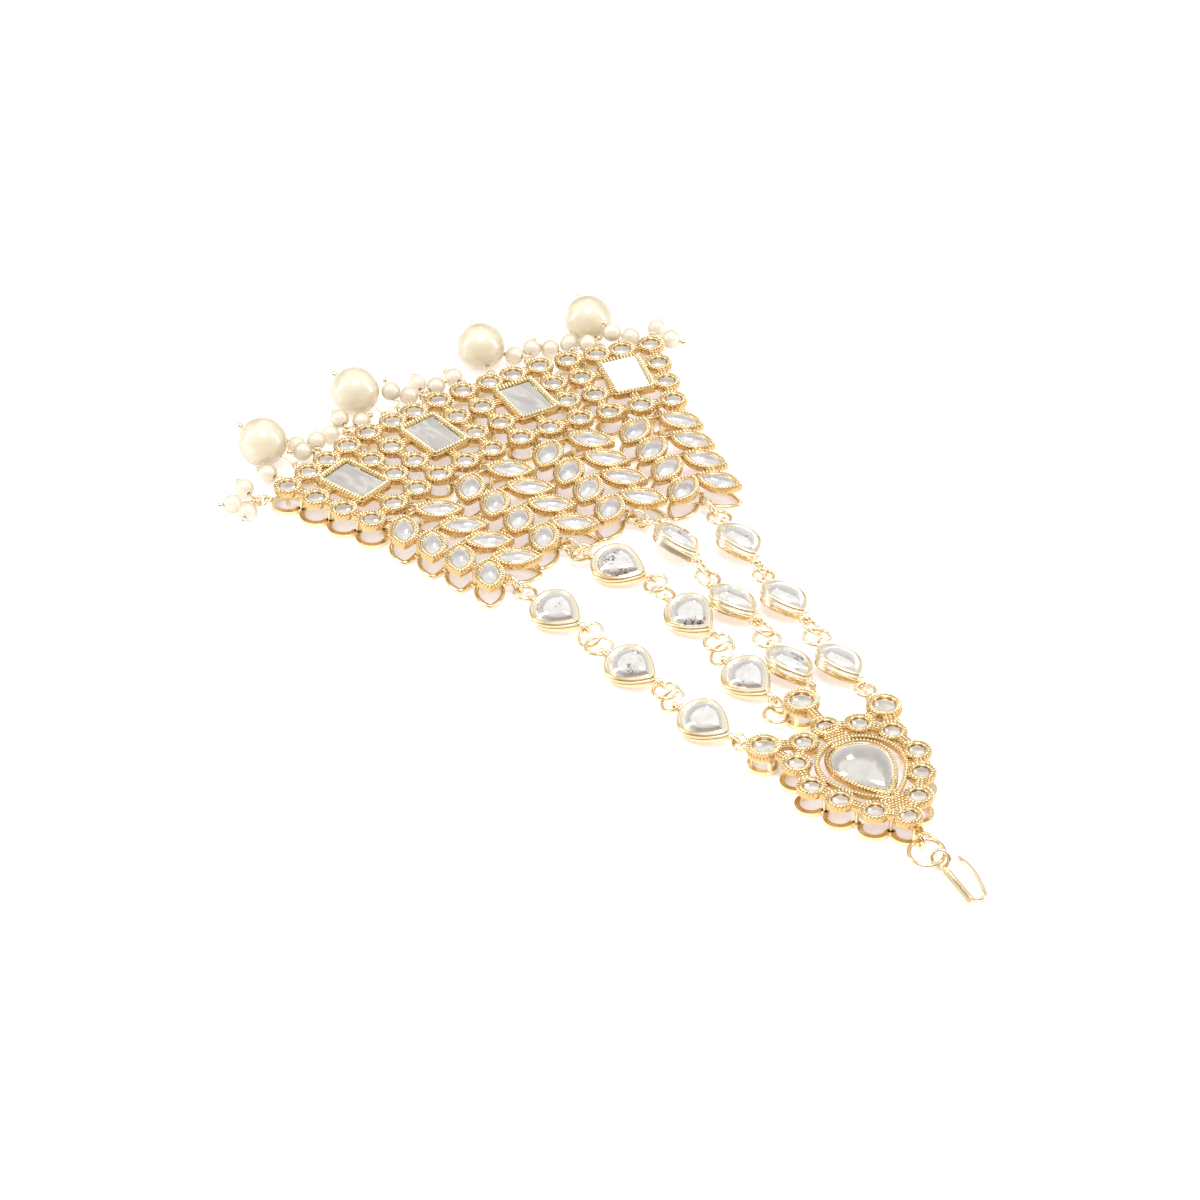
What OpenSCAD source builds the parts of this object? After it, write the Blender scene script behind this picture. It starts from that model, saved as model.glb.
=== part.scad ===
// Passa jhoomar headpiece, lying face up on a table.
// A fan of four square panels and four leaf panels hangs from four strands of pear links.
// The strands meet at a pear plaque with a wire hook. Pearls on ball-headed pins edge the fan.
// The hook points along +Y and the pearls along -Y. Lengths are in millimetres.

/* [Frame] */
// Sideways distance from the fan's centre line to the middle of the whole piece
middle_x = 2; // [0:0.1:5]
// Distance along the fan from its drawing origin to the middle of the whole piece
middle_y = 6.3; // [0:0.1:10]

/* [Panel build] */
// Height of the scalloped base wire
base_h = 0.8; // [0.6:0.1:1]
// Width of the base wire, seen from above
base_w = 0.8; // [0.7:0.1:0.9]
// Underside of the stone cups
cup_z = 3.2; // [3.1:0.1:3.4]
// Top of the bezels
rim_z = 4.5; // [4.4:0.1:4.8]
// Floor thickness of a stone cup
floor_h = 0.3; // [0.2:0.1:0.4]
// Width of the webs between the cups
web_w = 1.2; // [0.9:0.1:1.4]
// Height of the webs between the cups
web_h = 0.8; // [0.5:0.1:1]
// Radius of the posts between base and cups
post_r = 0.4; // [0.3:0.05:0.5]

/* [Round seats] */
// Outer diameter of a round bezel
round_bezel_d = 4.65; // [4.5:0.05:4.7]
// Diameter of a round stone
round_stone_d = 3.5; // [3.2:0.1:3.6]
// Radius of the base wire under a free edge
free_base_r = 2.7; // [2.5:0.05:2.75]
// Diameter of an apex bezel
apex_bezel_d = 4.7; // [4.5:0.05:4.8]
// Diameter of an apex stone
apex_stone_d = 3.2; // [3:0.1:3.4]
// Diameter of the three ear bezels
ear_bezel_d = 5.6; // [5.2:0.1:5.8]
// Diameter of the three ear stones
ear_stone_d = 4; // [3.6:0.1:4.2]
// Underside of the deeper ear cups
ear_cup_z = 2.6; // [2.5:0.1:2.8]

/* [Square panels] */
// Width of the raised centre frame
frame_w = 7.4; // [7.2:0.1:7.6]
// Length of the raised centre frame
frame_l = 10; // [9.6:0.1:10.2]
// Wall of the raised centre frame
frame_wall = 0.6; // [0.4:0.05:0.7]
// Top of the raised centre frame
frame_top = 5; // [4.8:0.1:5.2]
// Thickness of the flat centre stone
flat_stone_h = 0.7; // [0.5:0.1:1]

/* [Leaf panels] */
// Length of a leaf bezel
leaf_l = 8.4; // [8.2:0.1:8.5]
// Width of a leaf bezel
leaf_w = 4.9; // [4.7:0.1:5]
// Length of a leaf stone
leaf_stone_l = 6.5; // [6:0.1:6.6]
// Width of a leaf stone
leaf_stone_w = 3.4; // [3:0.1:3.5]
// Angle of the leaves to the panel's centre line
leaf_angle = 45; // [43:1:47]

/* [Pear links] */
// Length of a link's rim
link_l = 9.4; // [9.2:0.1:9.6]
// Width of a link's rim
link_w = 7.5; // [7.3:0.1:7.7]
// Depth of a link's cup
link_h = 2.2; // [2:0.1:2.4]
// How much smaller the lower step of the cup is
link_step = 0.5; // [0.3:0.1:0.6]
// Length of a link's stone
link_stone_l = 7.4; // [7.2:0.1:7.6]
// Width of a link's stone
link_stone_w = 6.1; // [5.9:0.1:6.2]
// Mean radius of a link's end loop
loop_r = 0.85; // [0.8:0.05:0.9]
// Wire radius of loops and jump rings
wire_r = 0.3; // [0.25:0.01:0.3]

/* [Apex plaque] */
// Length of the pear stone
pear_stone_l = 12; // [11.5:0.1:12.2]
// Width of the pear stone
pear_stone_w = 9; // [8.6:0.1:9.1]
// Wire radius of the hook, its ring and the tip loop
hook_wire_r = 0.35; // [0.3:0.01:0.36]

/* [Pearls] */
// Radius of the four large pearls
large_r = 4; // [3.8:0.05:4]
// Radius of the small pearls
small_r = 1.55; // [1.5:0.01:1.55]

/* [Hidden] */
$fn = 48;

// Cuts of the pear stones: height of the girdle, height of the crown, share that is table
LINK_CUT = [0.7, 1.1, 0.5];
APEX_CUT = [0.6, 0.9, 0.5];
// Cuts of the small stones
ROUND_CUT = [0.35, 0.45, 0.55];
LEAF_CUT = [0.35, 0.5, 0.5];
// Slope at the edge of the flat stones
flat_slope_h = 0.2;
// Free space between loose pieces
gap = 0.1;
// Wider play of the pear stones, whose outline has fewer sides than their cup's
pear_play = 0.28;
gold = "goldenrod";
glass = "lightsteelblue";
cream = "cornsilk";

// Underside of the webs, foot discs of the posts, and how far a post reaches into a cup's floor
web_z = cup_z + 0.1;
foot_r = 0.7;
post_top = cup_z + 0.25;
lug_post_top = cup_z + 0.2;
ear_post_top = ear_cup_z + 0.2;

// Lugs that carry the jump rings: middle height, thickness, hole and edge radius
lug_z = 2;
lug_h = 0.6;
lug_hole_r = 0.55;
lug_r = 1;
// The smaller lugs and rings of the pearls
pearl_lug_h = 0.5;
pearl_lug_hole_r = 0.42;
pearl_lug_r = 0.8;
pearl_ring_r = 1;
pearl_wire_r = 0.18;
eye_r = 0.65;
eye_wire_r = 0.17;
large_bore_r = 0.32;
small_bore_r = 0.3;
large_ball_r = 0.58;
small_ball_r = 0.5;
large_lift = 0.02;

// Panels from right to left: x, y, turn
SQUARES = [[26.2, -48.1, 16], [8.9, -51.6, 4.7], [-8.9, -51.6, -4.7], [-26.2, -48.1, -16]];
LEAVES = [[20.8, -25, 12.4], [7, -28, 3.9], [-7, -28, -3.9], [-20.8, -25, -12.4]];
// The apex plaque: x, y, turn
APEX = [2.9, 54.6, -6.35];

// Seats of the right half of a square panel, in order round its edge
pearl_row_y = -7.38;
SQUARE_HALF = [[2.18, pearl_row_y], [7.14, pearl_row_y], [6.63, -1.88], [6.12, 3.48], [5.45, 8.82]];
SQUARE_SEATS = concat(SQUARE_HALF, [[0, 8.65]], [for (i = [4:-1:0]) flip(SQUARE_HALF[i])]);
frame_centre = [-0.3, 0.1];
frame_floor = 0.4;

// Seats of the right half of a leaf panel, from the pearl end to the hook end
LEAF_HALF = [[3.97, -8.74], [3.51, -2.97], [3.26, 2.75], [3.05, 8.94]];
// Distance of each leaf panel's strand lug from its centre
LEAF_LUG_Y = [10.4, 10.4, 10.4, 11.2];
leaf_post_y = 9.1;

// Seats of the apex plaque, in order round its edge
APEX_HALF = [[4.8, -8.18], [8.24, -4.31], [9.05, 1.45], [6.96, 6.22], [3.71, 10.81]];
APEX_SEATS = concat([[0, -9.92]], APEX_HALF, [[0, 14.13]], [for (i = [4:-1:0]) flip(APEX_HALF[i])]);
apex_base_r = 2.5;
EARS = [[10.39, -10.26], [0, -17.14], [-10.39, -10.26]];
pear_centre = [-0.2, 1.7];
// Length and width that the pear bezel, the band round it and the band's wall add to the stone
BEZEL_MORE = [2.6, 1.4];
BAND_MORE = [4.8, 5];
BAND_WALL = [1.6, 1.4];
bridge_w = 3.4;
ear_post_out = 2.1;
ear_post_turn = 50;
tip_loop_r = 1.1;
tip_loop_y = 17.5;
tip_loop_z = 1.8;
tip_post_r = 0.45;
tip_post_y = 16.2;
// The cut wire end beside the tip loop
END_STUB = [[-0.8, 14.9, 1.6], [-2.1, 17.2, 1.5]];

// Pear links of each strand: x, y, yaw, roll
STRANDS = [
    [[17.1, -3.35, 12.9, 18], [15.7, 14.7, 13.9, 18], [14.4, 32, 13.3, 18]],
    [[2.5, -7.8, 25, 18], [0.8, 9.2, 4, 18], [2.85, 27.1, 3, 18]],
    [[-7.6, -7.3, -4, -28], [-6.05, 10.2, 3, -19], [-3.75, 28, -3, -19]],
    [[-16, -2.1, -9, -19], [-13, 14.1, -3, -19], [-10.3, 32, -4, -19]]
];
link_step_z = 0.9;
loop_z = 1.1;
loop_y = link_l / 2 + loop_r + wire_r - 0.2;

// Pearl lugs: panel, start of the lug along the pearl row, its direction, its length
ANCHORS = [
    [0, 7.14, -35, 3.2], [0, 4.66, -90, 2.4], [0, 0, -90, 2.4], [0, -4.66, -90, 2.4],
    [1, 7.14, -70, 3.1], [1, 0, -90, 2.4], [1, -2.18, -90, 3.1], [1, -7.14, -90, 3.1],
    [2, 4.66, -90, 2.4], [2, 0, -90, 2.4], [2, -7.14, -100, 3.1],
    [3, 4.66, -90, 2.4], [3, 0, -90, 2.4], [3, -4.66, -90, 2.4], [3, -7.14, -125, 3.2]
];
// Large pearls: x, y, lug
LARGE = [[32, -65.8, 2], [12.1, -69.4, 5], [-11.7, -68.4, 9], [-30.8, -65.1, 12]];
// Small pearls: x, y, z, lug, angle of the pin's eye on its ring
SMALL = [
    [39.4, -59.4, 1.6, 0, -30], [43.7, -56, 2.4, 0, 0], [43.1, -52.4, 2.6, 0, 30],
    [34.2, -60.2, 1.75, 1, 0],
    [26.3, -64.7, 1.6, 3, -30], [26.3, -61.2, 2.6, 3, 30], [23.6, -63, 2.4, 3, 0],
    [20.2, -64.3, 1.6, 4, -30], [17.4, -65.8, 2.7, 4, 30], [14.3, -64.1, 1.9, 4, 0],
    [7.4, -65.5, 3.7, 6, 45],
    [3.9, -65.6, 2, 7, 0], [0.9, -68.1, 1.7, 7, -30], [-0.7, -65, 2.4, 7, 30],
    [-4.9, -65.3, 1.9, 8, 0],
    [-16.5, -65.7, 1.9, 10, 25], [-19.7, -65.3, 2.3, 10, -25],
    [-22.7, -64.3, 1.6, 11, -30], [-25.5, -62.7, 2.2, 11, 0], [-27.3, -60.1, 3.2, 11, 36],
    [-31.9, -58.3, 3.6, 13, 45],
    [-35.4, -59.4, 1.8, 14, -30], [-39.3, -58, 2.1, 14, 0], [-40.1, -54.5, 2.3, 14, 30]
];

function flip(q) = [-q[0], q[1]];
function turn(v, a) = [v[0] * cos(a) - v[1] * sin(a), v[0] * sin(a) + v[1] * cos(a)];
function from_panel(p, v) = [p[0], p[1]] + turn(v, p[2]);
function to_panel(p, v) = turn([v[0] - p[0], v[1] - p[1]], -p[2]);
function lift(v, z) = [v[0], v[1], z];
function heading(v) = atan2(v[1], v[0]);
function middle(a, b) = (a + b) / 2;
function unit(v) = v / norm(v);

// Outline of a pear with its round end at -Y and its tip at +Y, made of arcs
function pear(l, w, n = 9) =
    let (r = w / 2, cy = r - l / 2, tip = l / 2 - cy, big = 1.44 * w, k = big - r)
    let (sb = (big * big - k * k - tip * tip) / (2 * tip * k), b = asin(sb))
    let (cx = -k * cos(b), dy = -k * sb, e = atan2(tip - dy, -cx))
    let (low = [for (i = [0:n]) let (a = -90 + (b + 90) * i / n) [r * cos(a), cy + r * sin(a)]])
    let (high = [for (i = [1:n]) let (a = b + (e - b) * i / n)
        [max(0, cx + big * cos(a)), cy + dy + big * sin(a)]])
    let (right = concat(low, high))
    concat(right, [for (i = [len(right) - 2:-1:1]) flip(right[i])]);

// A link rests on the lower edge of its cup
function link_rest_z(k) = (link_w - link_step) / 2 * abs(sin(k[3])) + 0.05;
function on_link(k, v) =
    let (ro = k[3], x = v[0] * cos(ro) + v[2] * sin(ro), z = -v[0] * sin(ro) + v[2] * cos(ro))
    let (q = turn([x, v[1]], k[2]))
    [k[0] + q[0], k[1] + q[1], link_rest_z(k) + z];
function link_loop(k, s) = on_link(k, [0, s * loop_y, loop_z]);

function leaf_lug(i) = lift(from_panel(LEAVES[i], [0, LEAF_LUG_Y[i]]), lug_z);
function ear_lug(i, a) = lift(from_panel(APEX, EARS[i]) + turn([ear_lug_l, 0], a), lug_z);
ear_lug_l = 3.5;
// Ear lugs: ear, direction
EAR_LUGS = [[0, -78], [1, 200], [2, -98]];

// The post under the middle ear that carries the last ring of strand 2
ear_post_l = 2.35;
ear_post_a = -34;
ear_post_r = 0.35;
flat_ring_r = 2;
flat_ring_out = 3.65;
flat_ring_z = 1.25;
// Where on that ring the link's own ring is caught
caught_a = 230;
caught_reach = 1.05;
flat_ring = lift(from_panel(APEX, EARS[1]) + turn([flat_ring_out, 0], ear_post_a), flat_ring_z);

// Both hole centres of the ring that joins a square panel to its leaf panel
join_x = 2.72;
join_y = 9.6;
join_span = 2.3;
join_start_y = 8.73;
leaf_arm = 1.3;
leaf_arm_turn = 40;
join_wire_r = 0.26;
function join_square(i, s) = from_panel(SQUARES[i], [s * join_x, join_y]);
function join_leaf(i, s) =
    join_square(i, s) + turn([0, join_span], (SQUARES[i][2] + LEAVES[i][2]) / 2);

function anchor_start(a) = [a[1], pearl_row_y];
function anchor_end(a) = anchor_start(a) + turn([a[3], 0], a[2]);
function anchor_hole(a) = lift(from_panel(SQUARES[a[0]], anchor_end(a)), lug_z);
function anchor_pearls(k) = concat([for (p = SMALL) if (p[3] == k) p], [for (p = LARGE) if (p[2] == k) p]);
function mean_xy(ps, i = 0) = i == len(ps) ? [0, 0] : [ps[i][0], ps[i][1]] / len(ps) + mean_xy(ps, i + 1);
function anchor_heading(k) =
    let (h = anchor_hole(ANCHORS[k]), m = mean_xy(anchor_pearls(k))) heading([m[0] - h[0], m[1] - h[1]]);
function anchor_ring(k) = anchor_hole(ANCHORS[k]) + lift(turn([pearl_ring_r, 0], anchor_heading(k)), 0);
function eye_at(k, a) =
    anchor_ring(k) + lift(turn([pearl_ring_r * cos(a), 0], anchor_heading(k)), pearl_ring_r * sin(a));
// A pearl keeps at least its own radius and an eye between itself and the ring
function seated(e, p, r) = let (d = p - e) e + unit(d) * max(norm(d), r + eye_r + eye_wire_r + gap);
function small_place(p) = seated(eye_at(p[3], p[4]), [p[0], p[1], p[2]], small_r);
function large_place(p) = seated(eye_at(p[2], 0), [p[0], p[1], large_r + large_lift], large_r);

module whole() translate([-middle_x, -middle_y, 0]) children();
module at(p) translate([p[0], p[1], 0]) rotate([0, 0, p[2]]) children();

// Straight flat bar between two points, seen from above
module bar(a, b, w, z, h)
    translate([a[0], a[1], z]) rotate([0, 0, heading(b - a)]) translate([0, -w / 2, 0])
        cube([norm(b - a), w, h]);

module post(q, r, z, top) translate([q[0], q[1], z]) cylinder(r = r, h = top - z);

// Points local X along a vector in space
module aim(v) rotate([0, -asin(v[2] / norm(v)), heading(v)]) children();

module torus(r, w) rotate_extrude() translate([r, 0]) circle(w);

// Ring whose plane holds the direction v and is tilted about it
module ring(c, r, w, v, tilt) translate(c) aim(v) rotate([tilt, 0, 0]) torus(r, w);

// Straight wire between two points in space, with a round far end
module stub(a, b, r) translate(a) aim(b - a) {
    rotate([0, 90, 0]) cylinder(r = r, h = norm(b - a));
    translate([norm(b - a), 0, 0]) sphere(r);
}

module lens(l, w, h) {
    r = (l * l + w * w) / (4 * w);
    linear_extrude(h) intersection() {
        translate([r - w / 2, 0]) circle(r);
        translate([w / 2 - r, 0]) circle(r);
    }
}

module pear_plate(l, w, h) linear_extrude(h) polygon(pear(l, w));

// Horizontal lug: a holed disc on a bar that starts at a post
module lug(start, end, z, h, r, hole_r, top) {
    difference() {
        union() {
            post(end, r, z - h / 2, z + h / 2);
            bar(start, end, 2 * post_r, z - h / 2, h);
        }
        post(end, hole_r, z - h, z + h);
    }
    post(start, post_r, z - h / 2 - 0.05, top);
}

// Faceted round stone with a girdle, a sloped crown and a table
module round_stone(d) {
    cylinder(d = d, h = ROUND_CUT[0], $fn = 10);
    translate([0, 0, ROUND_CUT[0]]) cylinder(d1 = d, d2 = ROUND_CUT[2] * d, h = ROUND_CUT[1], $fn = 10);
}

// Outline of a leaf with its tips on the Y axis, as a polygon with five sides a flank
function leaf_outline(l, w) =
    let (r = (l * l + w * w) / (4 * w), e = asin(l / 2 / r))
    let (side = [for (i = [-5:2:5]) [r * cos(e * i / 5) - r + w / 2, r * sin(e * i / 5)]])
    concat(side, [for (i = [1:4]) -side[i]]);

module leaf_stone() {
    outline = leaf_outline(leaf_stone_l, leaf_stone_w);
    linear_extrude(LEAF_CUT[0]) polygon(outline);
    translate([0, 0, LEAF_CUT[0]]) linear_extrude(LEAF_CUT[1], scale = LEAF_CUT[2]) polygon(outline);
}

module pear_stone(l, w, cut) {
    linear_extrude(cut[0]) polygon(pear(l, w, 4));
    translate([0, 0, cut[0]]) linear_extrude(cut[1], scale = cut[2]) polygon(pear(l, w, 4));
}

// Radius of the base wire under a square panel's seat, slimmer where panels adjoin
function square_base_r(q, free) =
    q[0] * free > 4 || (q[1] < -5 && abs(q[0]) < 5) ? free_base_r : round_bezel_d / 2;

module square_panel(i, free) color(gold) at(SQUARES[i]) {
    n = len(SQUARE_SEATS);
    difference() {
        union() {
            for (q = SQUARE_SEATS) post(q, round_bezel_d / 2, cup_z, rim_z);
            for (k = [0:n - 1]) bar(SQUARE_SEATS[k], SQUARE_SEATS[(k + 1) % n], web_w, web_z, web_h);
            for (s = [-1, 1]) {
                bar([s * 2.18, pearl_row_y], [s * 2.18, -3], web_w, web_z, web_h);
                bar([s * 6.63, -1.88], [s * 2, -1.88], web_w, web_z, web_h);
                bar([s * 6.12, 3.48], [s * 2, 3.48], web_w, web_z, web_h);
            }
            bar([0, 8.65], [0, 3], web_w, web_z, web_h);
            translate([frame_centre[0] - frame_w / 2, frame_centre[1] - frame_l / 2, cup_z])
                cube([frame_w, frame_l, frame_top - cup_z]);
        }
        for (q = SQUARE_SEATS) post(q, round_stone_d / 2 + gap, cup_z + floor_h, rim_z + 1);
        translate([frame_centre[0] - frame_w / 2 + frame_wall, frame_centre[1] - frame_l / 2 + frame_wall,
            cup_z + frame_floor])
            cube([frame_w - 2 * frame_wall, frame_l - 2 * frame_wall, 3]);
    }
    difference() {
        for (q = SQUARE_SEATS) post(q, square_base_r(q, free), 0, base_h);
        for (q = SQUARE_SEATS) post(q, square_base_r(q, free) - base_w, -1, base_h + 1);
        translate([0, 0, -1]) linear_extrude(base_h + 2) polygon(SQUARE_SEATS);
    }
    for (k = [0:n - 1]) {
        m = middle(SQUARE_SEATS[k], SQUARE_SEATS[(k + 1) % n]);
        post(m, foot_r, 0, base_h);
        post(m, post_r, base_h / 2, post_top);
    }
    for (s = [-1, 1])
        lug([s * join_x, join_start_y], [s * join_x, join_y], lug_z, lug_h, lug_r, lug_hole_r, lug_post_top);
    for (a = ANCHORS) if (a[0] == i)
        lug(anchor_start(a), anchor_end(a), lug_z, pearl_lug_h, pearl_lug_r, pearl_lug_hole_r, lug_post_top);
}

module centre_stone(i) color(glass) at(SQUARES[i]) {
    w = frame_w - 2 * frame_wall - 2 * gap;
    l = frame_l - 2 * frame_wall - 2 * gap;
    translate([frame_centre[0], frame_centre[1], cup_z + frame_floor + gap]) {
        translate([-w / 2, -l / 2, 0]) cube([w, l, flat_stone_h - flat_slope_h]);
        translate([0, 0, flat_stone_h - flat_slope_h]) linear_extrude(flat_slope_h, scale = 0.92)
            square([w, l], center = true);
    }
}

module round_stones(i) color(glass) at(SQUARES[i])
    for (q = SQUARE_SEATS) translate([q[0], q[1], cup_z + floor_h + gap]) round_stone(round_stone_d);

// Both halves of a leaf panel, with the side as the sign of X
module leaf_seats() for (s = [-1, 1]) for (q = LEAF_HALF)
    translate([s * q[0], q[1], 0]) rotate([0, 0, -s * leaf_angle]) children();

// Point on a leaf's axis, a little way in from its inner tip
function leaf_tip(q, inset) = q - turn([0, leaf_l / 2 - inset], -leaf_angle);

module leaf_panel(i) color(gold) at(LEAVES[i]) {
    difference() {
        union() {
            translate([0, 0, cup_z]) leaf_seats() lens(leaf_l, leaf_w, rim_z - cup_z);
            for (s = [-1, 1]) for (k = [0:2])
                bar([s * LEAF_HALF[k][0], LEAF_HALF[k][1]], [s * LEAF_HALF[k + 1][0], LEAF_HALF[k + 1][1]],
                    web_w, web_z, web_h);
            for (q = LEAF_HALF) bar(leaf_tip(q, 0.7), flip(leaf_tip(q, 0.7)), 0.9, web_z, web_h);
        }
        translate([0, 0, cup_z + floor_h]) leaf_seats() lens(leaf_stone_l + 4 * gap, leaf_stone_w + 2 * gap, 3);
    }
    difference() {
        leaf_seats() lens(leaf_l, leaf_w, base_h);
        translate([0, 0, -1]) leaf_seats() lens(leaf_l - 1.5, leaf_w - 1.5, base_h + 2);
        translate([0, 0, -1]) linear_extrude(base_h + 2)
            polygon(concat(LEAF_HALF, [for (k = [3:-1:0]) flip(LEAF_HALF[k])]));
    }
    for (s = [-1, 1]) for (k = [0:2]) {
        m = middle(LEAF_HALF[k], LEAF_HALF[k + 1]);
        post([s * m[0], m[1]], foot_r, 0, base_h);
        post([s * m[0], m[1]], post_r, base_h / 2, post_top);
    }
    tip = leaf_tip(LEAF_HALF[0], 0.6);
    bar(tip, flip(tip), 0.9, 0, base_h);
    post([0, tip[1]], post_r, base_h / 2, post_top);
    bar([-1, leaf_post_y], [1, leaf_post_y], 0.9, 0, base_h);
    lug([0, leaf_post_y], [0, LEAF_LUG_Y[i]], lug_z, lug_h, lug_r, lug_hole_r, lug_z + lug_h / 2 + 0.1);
    post([0, leaf_post_y], post_r, base_h / 2, lug_z);
    for (s = [-1, 1]) {
        h = to_panel(LEAVES[i], join_leaf(i, s));
        lug(h + turn([0, leaf_arm], s * leaf_arm_turn), h, lug_z, lug_h, lug_r, lug_hole_r, lug_post_top);
    }
}

module leaf_stones(i) color(glass) at(LEAVES[i])
    translate([0, 0, cup_z + floor_h + gap]) leaf_seats() leaf_stone();

module panel_rings() color(gold) for (i = [0:3]) for (s = [-1, 1]) {
    a = join_square(i, s);
    b = join_leaf(i, s);
    ring(lift(middle(a, b), lug_z), norm(b - a) / 2, join_wire_r, lift(b - a, 0), 90);
}

module link(k) color(gold)
    translate([k[0], k[1], link_rest_z(k)]) rotate([0, k[3], k[2]]) {
        difference() {
            union() {
                pear_plate(link_l - link_step, link_w - link_step, link_step_z + 0.1);
                translate([0, 0, link_step_z]) pear_plate(link_l, link_w, link_h - link_step_z);
            }
            translate([0, 0, link_h / 2])
                pear_plate(link_stone_l + pear_play, link_stone_w + pear_play, link_h);
        }
        for (s = [-1, 1]) translate([0, s * loop_y, loop_z]) rotate([0, 90, 0]) torus(loop_r, wire_r);
    }

module link_stones(strand) color(glass) for (k = STRANDS[strand])
    translate([k[0], k[1], link_rest_z(k)]) rotate([0, k[3], k[2]])
        translate([0, 0, link_h / 2 + gap]) pear_stone(link_stone_l, link_stone_w, LINK_CUT);

// Two interlinked rings between two holes. A joint holds their tilts and how far they overlap.
module ring_pair(a, b, joint) {
    r = max(1.5, (norm(b - a) + joint[2]) / 4);
    u = unit(b - a);
    ring(a + u * r, r, wire_r, u, joint[0]);
    ring(b - u * r, r, wire_r, u, joint[1]);
}

// One thinner ring between two holes, reaching a little past both
module one_ring(a, b, tilt)
    ring(middle(a, b), norm(b - a) / 2 + end_reach, end_wire_r, b - a, tilt);

// Rings of each strand: at the leaf lug, between the first two links, between the last two
JOINTS = [
    [[108, 176, 0.7], [36, 4, 1.2], [4, 36, 1.2]],
    [[88, 24, 1.2], [20, 164, 0.9], [4, 36, 1.2]],
    [[92, 148, 1.2], [132, 168, 1.2], [148, 0, 1.2]],
    [[112, 176, 0.7], [140, 176, 1.2], [144, 0, 1.2]]
];
// Tilts of the single rings at the hook ends of strands 1 to 3, and the pair of strand 4
END_TILTS = [60, 162, 120];
END_PAIR = [176, 92, 1.2];
end_reach = 0.1;
end_wire_r = 0.27;

module strand_rings(i) color(gold) {
    s = STRANDS[i];
    ring_pair(leaf_lug(i), link_loop(s[0], -1), JOINTS[i][0]);
    for (k = [0:1]) ring_pair(link_loop(s[k], 1), link_loop(s[k + 1], -1), JOINTS[i][k + 1]);
    last = link_loop(s[2], 1);
    if (i == 0) one_ring(last, ear_lug(0, EAR_LUGS[0][1]), END_TILTS[0]);
    if (i == 2) one_ring(last, ear_lug(1, EAR_LUGS[1][1]), END_TILTS[2]);
    if (i == 3) ring_pair(last, ear_lug(2, EAR_LUGS[2][1]), END_PAIR);
    if (i == 1) {
        ring(flat_ring, flat_ring_r, wire_r, [1, 0, 0], 0);
        caught = flat_ring + lift(turn([flat_ring_r, 0], caught_a), 0);
        one_ring(last, caught + unit(caught - last) * caught_reach, END_TILTS[1]);
    }
}

module apex_plaque() color(gold) at(APEX) {
    n = len(APEX_SEATS);
    band_l = pear_stone_l + BAND_MORE[0];
    band_w = pear_stone_w + BAND_MORE[1];
    difference() {
        union() {
            for (q = APEX_SEATS) post(q, apex_bezel_d / 2, cup_z, rim_z);
            for (q = EARS) post(q, ear_bezel_d / 2, ear_cup_z, rim_z);
            for (k = [0:n - 1]) bar(APEX_SEATS[k], APEX_SEATS[(k + 1) % n], web_w, web_z, web_h);
            bar(EARS[1], APEX_SEATS[0], web_w, web_z, web_h);
            bar(EARS[0], APEX_SEATS[1], web_w, web_z, web_h);
            bar(EARS[0], APEX_SEATS[2], web_w, web_z, web_h);
            bar(EARS[2], APEX_SEATS[n - 1], web_w, web_z, web_h);
            bar(EARS[2], APEX_SEATS[n - 2], web_w, web_z, web_h);
            translate([pear_centre[0], pear_centre[1], cup_z]) {
                pear_plate(pear_stone_l + BEZEL_MORE[0], pear_stone_w + BEZEL_MORE[1], rim_z - cup_z);
                translate([0, 0, 0.1]) difference() {
                    pear_plate(band_l, band_w, web_h);
                    translate([0, 0, -1]) pear_plate(band_l - BAND_WALL[0], band_w - BAND_WALL[1], 3);
                }
            }
            bar([0, -9.5], [0, -4], bridge_w, web_z, web_h);
            bar([0, 7], [0, 13.5], bridge_w, web_z, web_h);
        }
        for (q = APEX_SEATS) post(q, apex_stone_d / 2 + gap, cup_z + floor_h, rim_z + 1);
        for (q = EARS) post(q, ear_stone_d / 2 + gap, cup_z + floor_h, rim_z + 1);
        translate([pear_centre[0], pear_centre[1], cup_z + frame_floor])
            pear_plate(pear_stone_l + pear_play, pear_stone_w + pear_play, 3);
    }
    difference() {
        for (q = APEX_SEATS) post(q, apex_base_r, 0, base_h);
        for (q = APEX_SEATS) post(q, apex_base_r - base_w, -1, base_h + 1);
        translate([0, 0, -1]) linear_extrude(base_h + 2) polygon(APEX_SEATS);
    }
    for (k = [0:n - 1]) {
        m = middle(APEX_SEATS[k], APEX_SEATS[(k + 1) % n]);
        post(m, foot_r, 0, base_h);
        post(m, post_r, base_h / 2, post_top);
    }
    for (q = EARS) {
        toward = unit(-q);
        difference() {
            post(q, apex_base_r, 0, base_h);
            post(q, apex_base_r - base_w, -1, base_h + 1);
        }
        for (a = [-ear_post_turn, ear_post_turn])
            post(q + turn(toward, a) * ear_post_out, post_r, base_h / 2, ear_post_top);
    }
    post(EARS[1] + turn([ear_post_l, 0], ear_post_a - APEX[2]), ear_post_r, base_h / 2, ear_post_top);
    for (e = EAR_LUGS) {
        q = EARS[e[0]];
        a = e[1] - APEX[2];
        start = q + turn([ear_post_out, 0], a);
        lug(start, q + turn([ear_lug_l, 0], a), lug_z, lug_h, lug_r, lug_hole_r, ear_post_top);
    }
    translate([0, tip_loop_y, tip_loop_z]) rotate([0, 90, 0]) torus(tip_loop_r, hook_wire_r);
    post([0, tip_post_y], tip_post_r, base_h / 2, lug_post_top);
    stub(END_STUB[0], END_STUB[1], hook_wire_r);
    post([END_STUB[0][0], END_STUB[0][1]], tip_post_r, 1.1, cup_z + 0.15);
}

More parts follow.
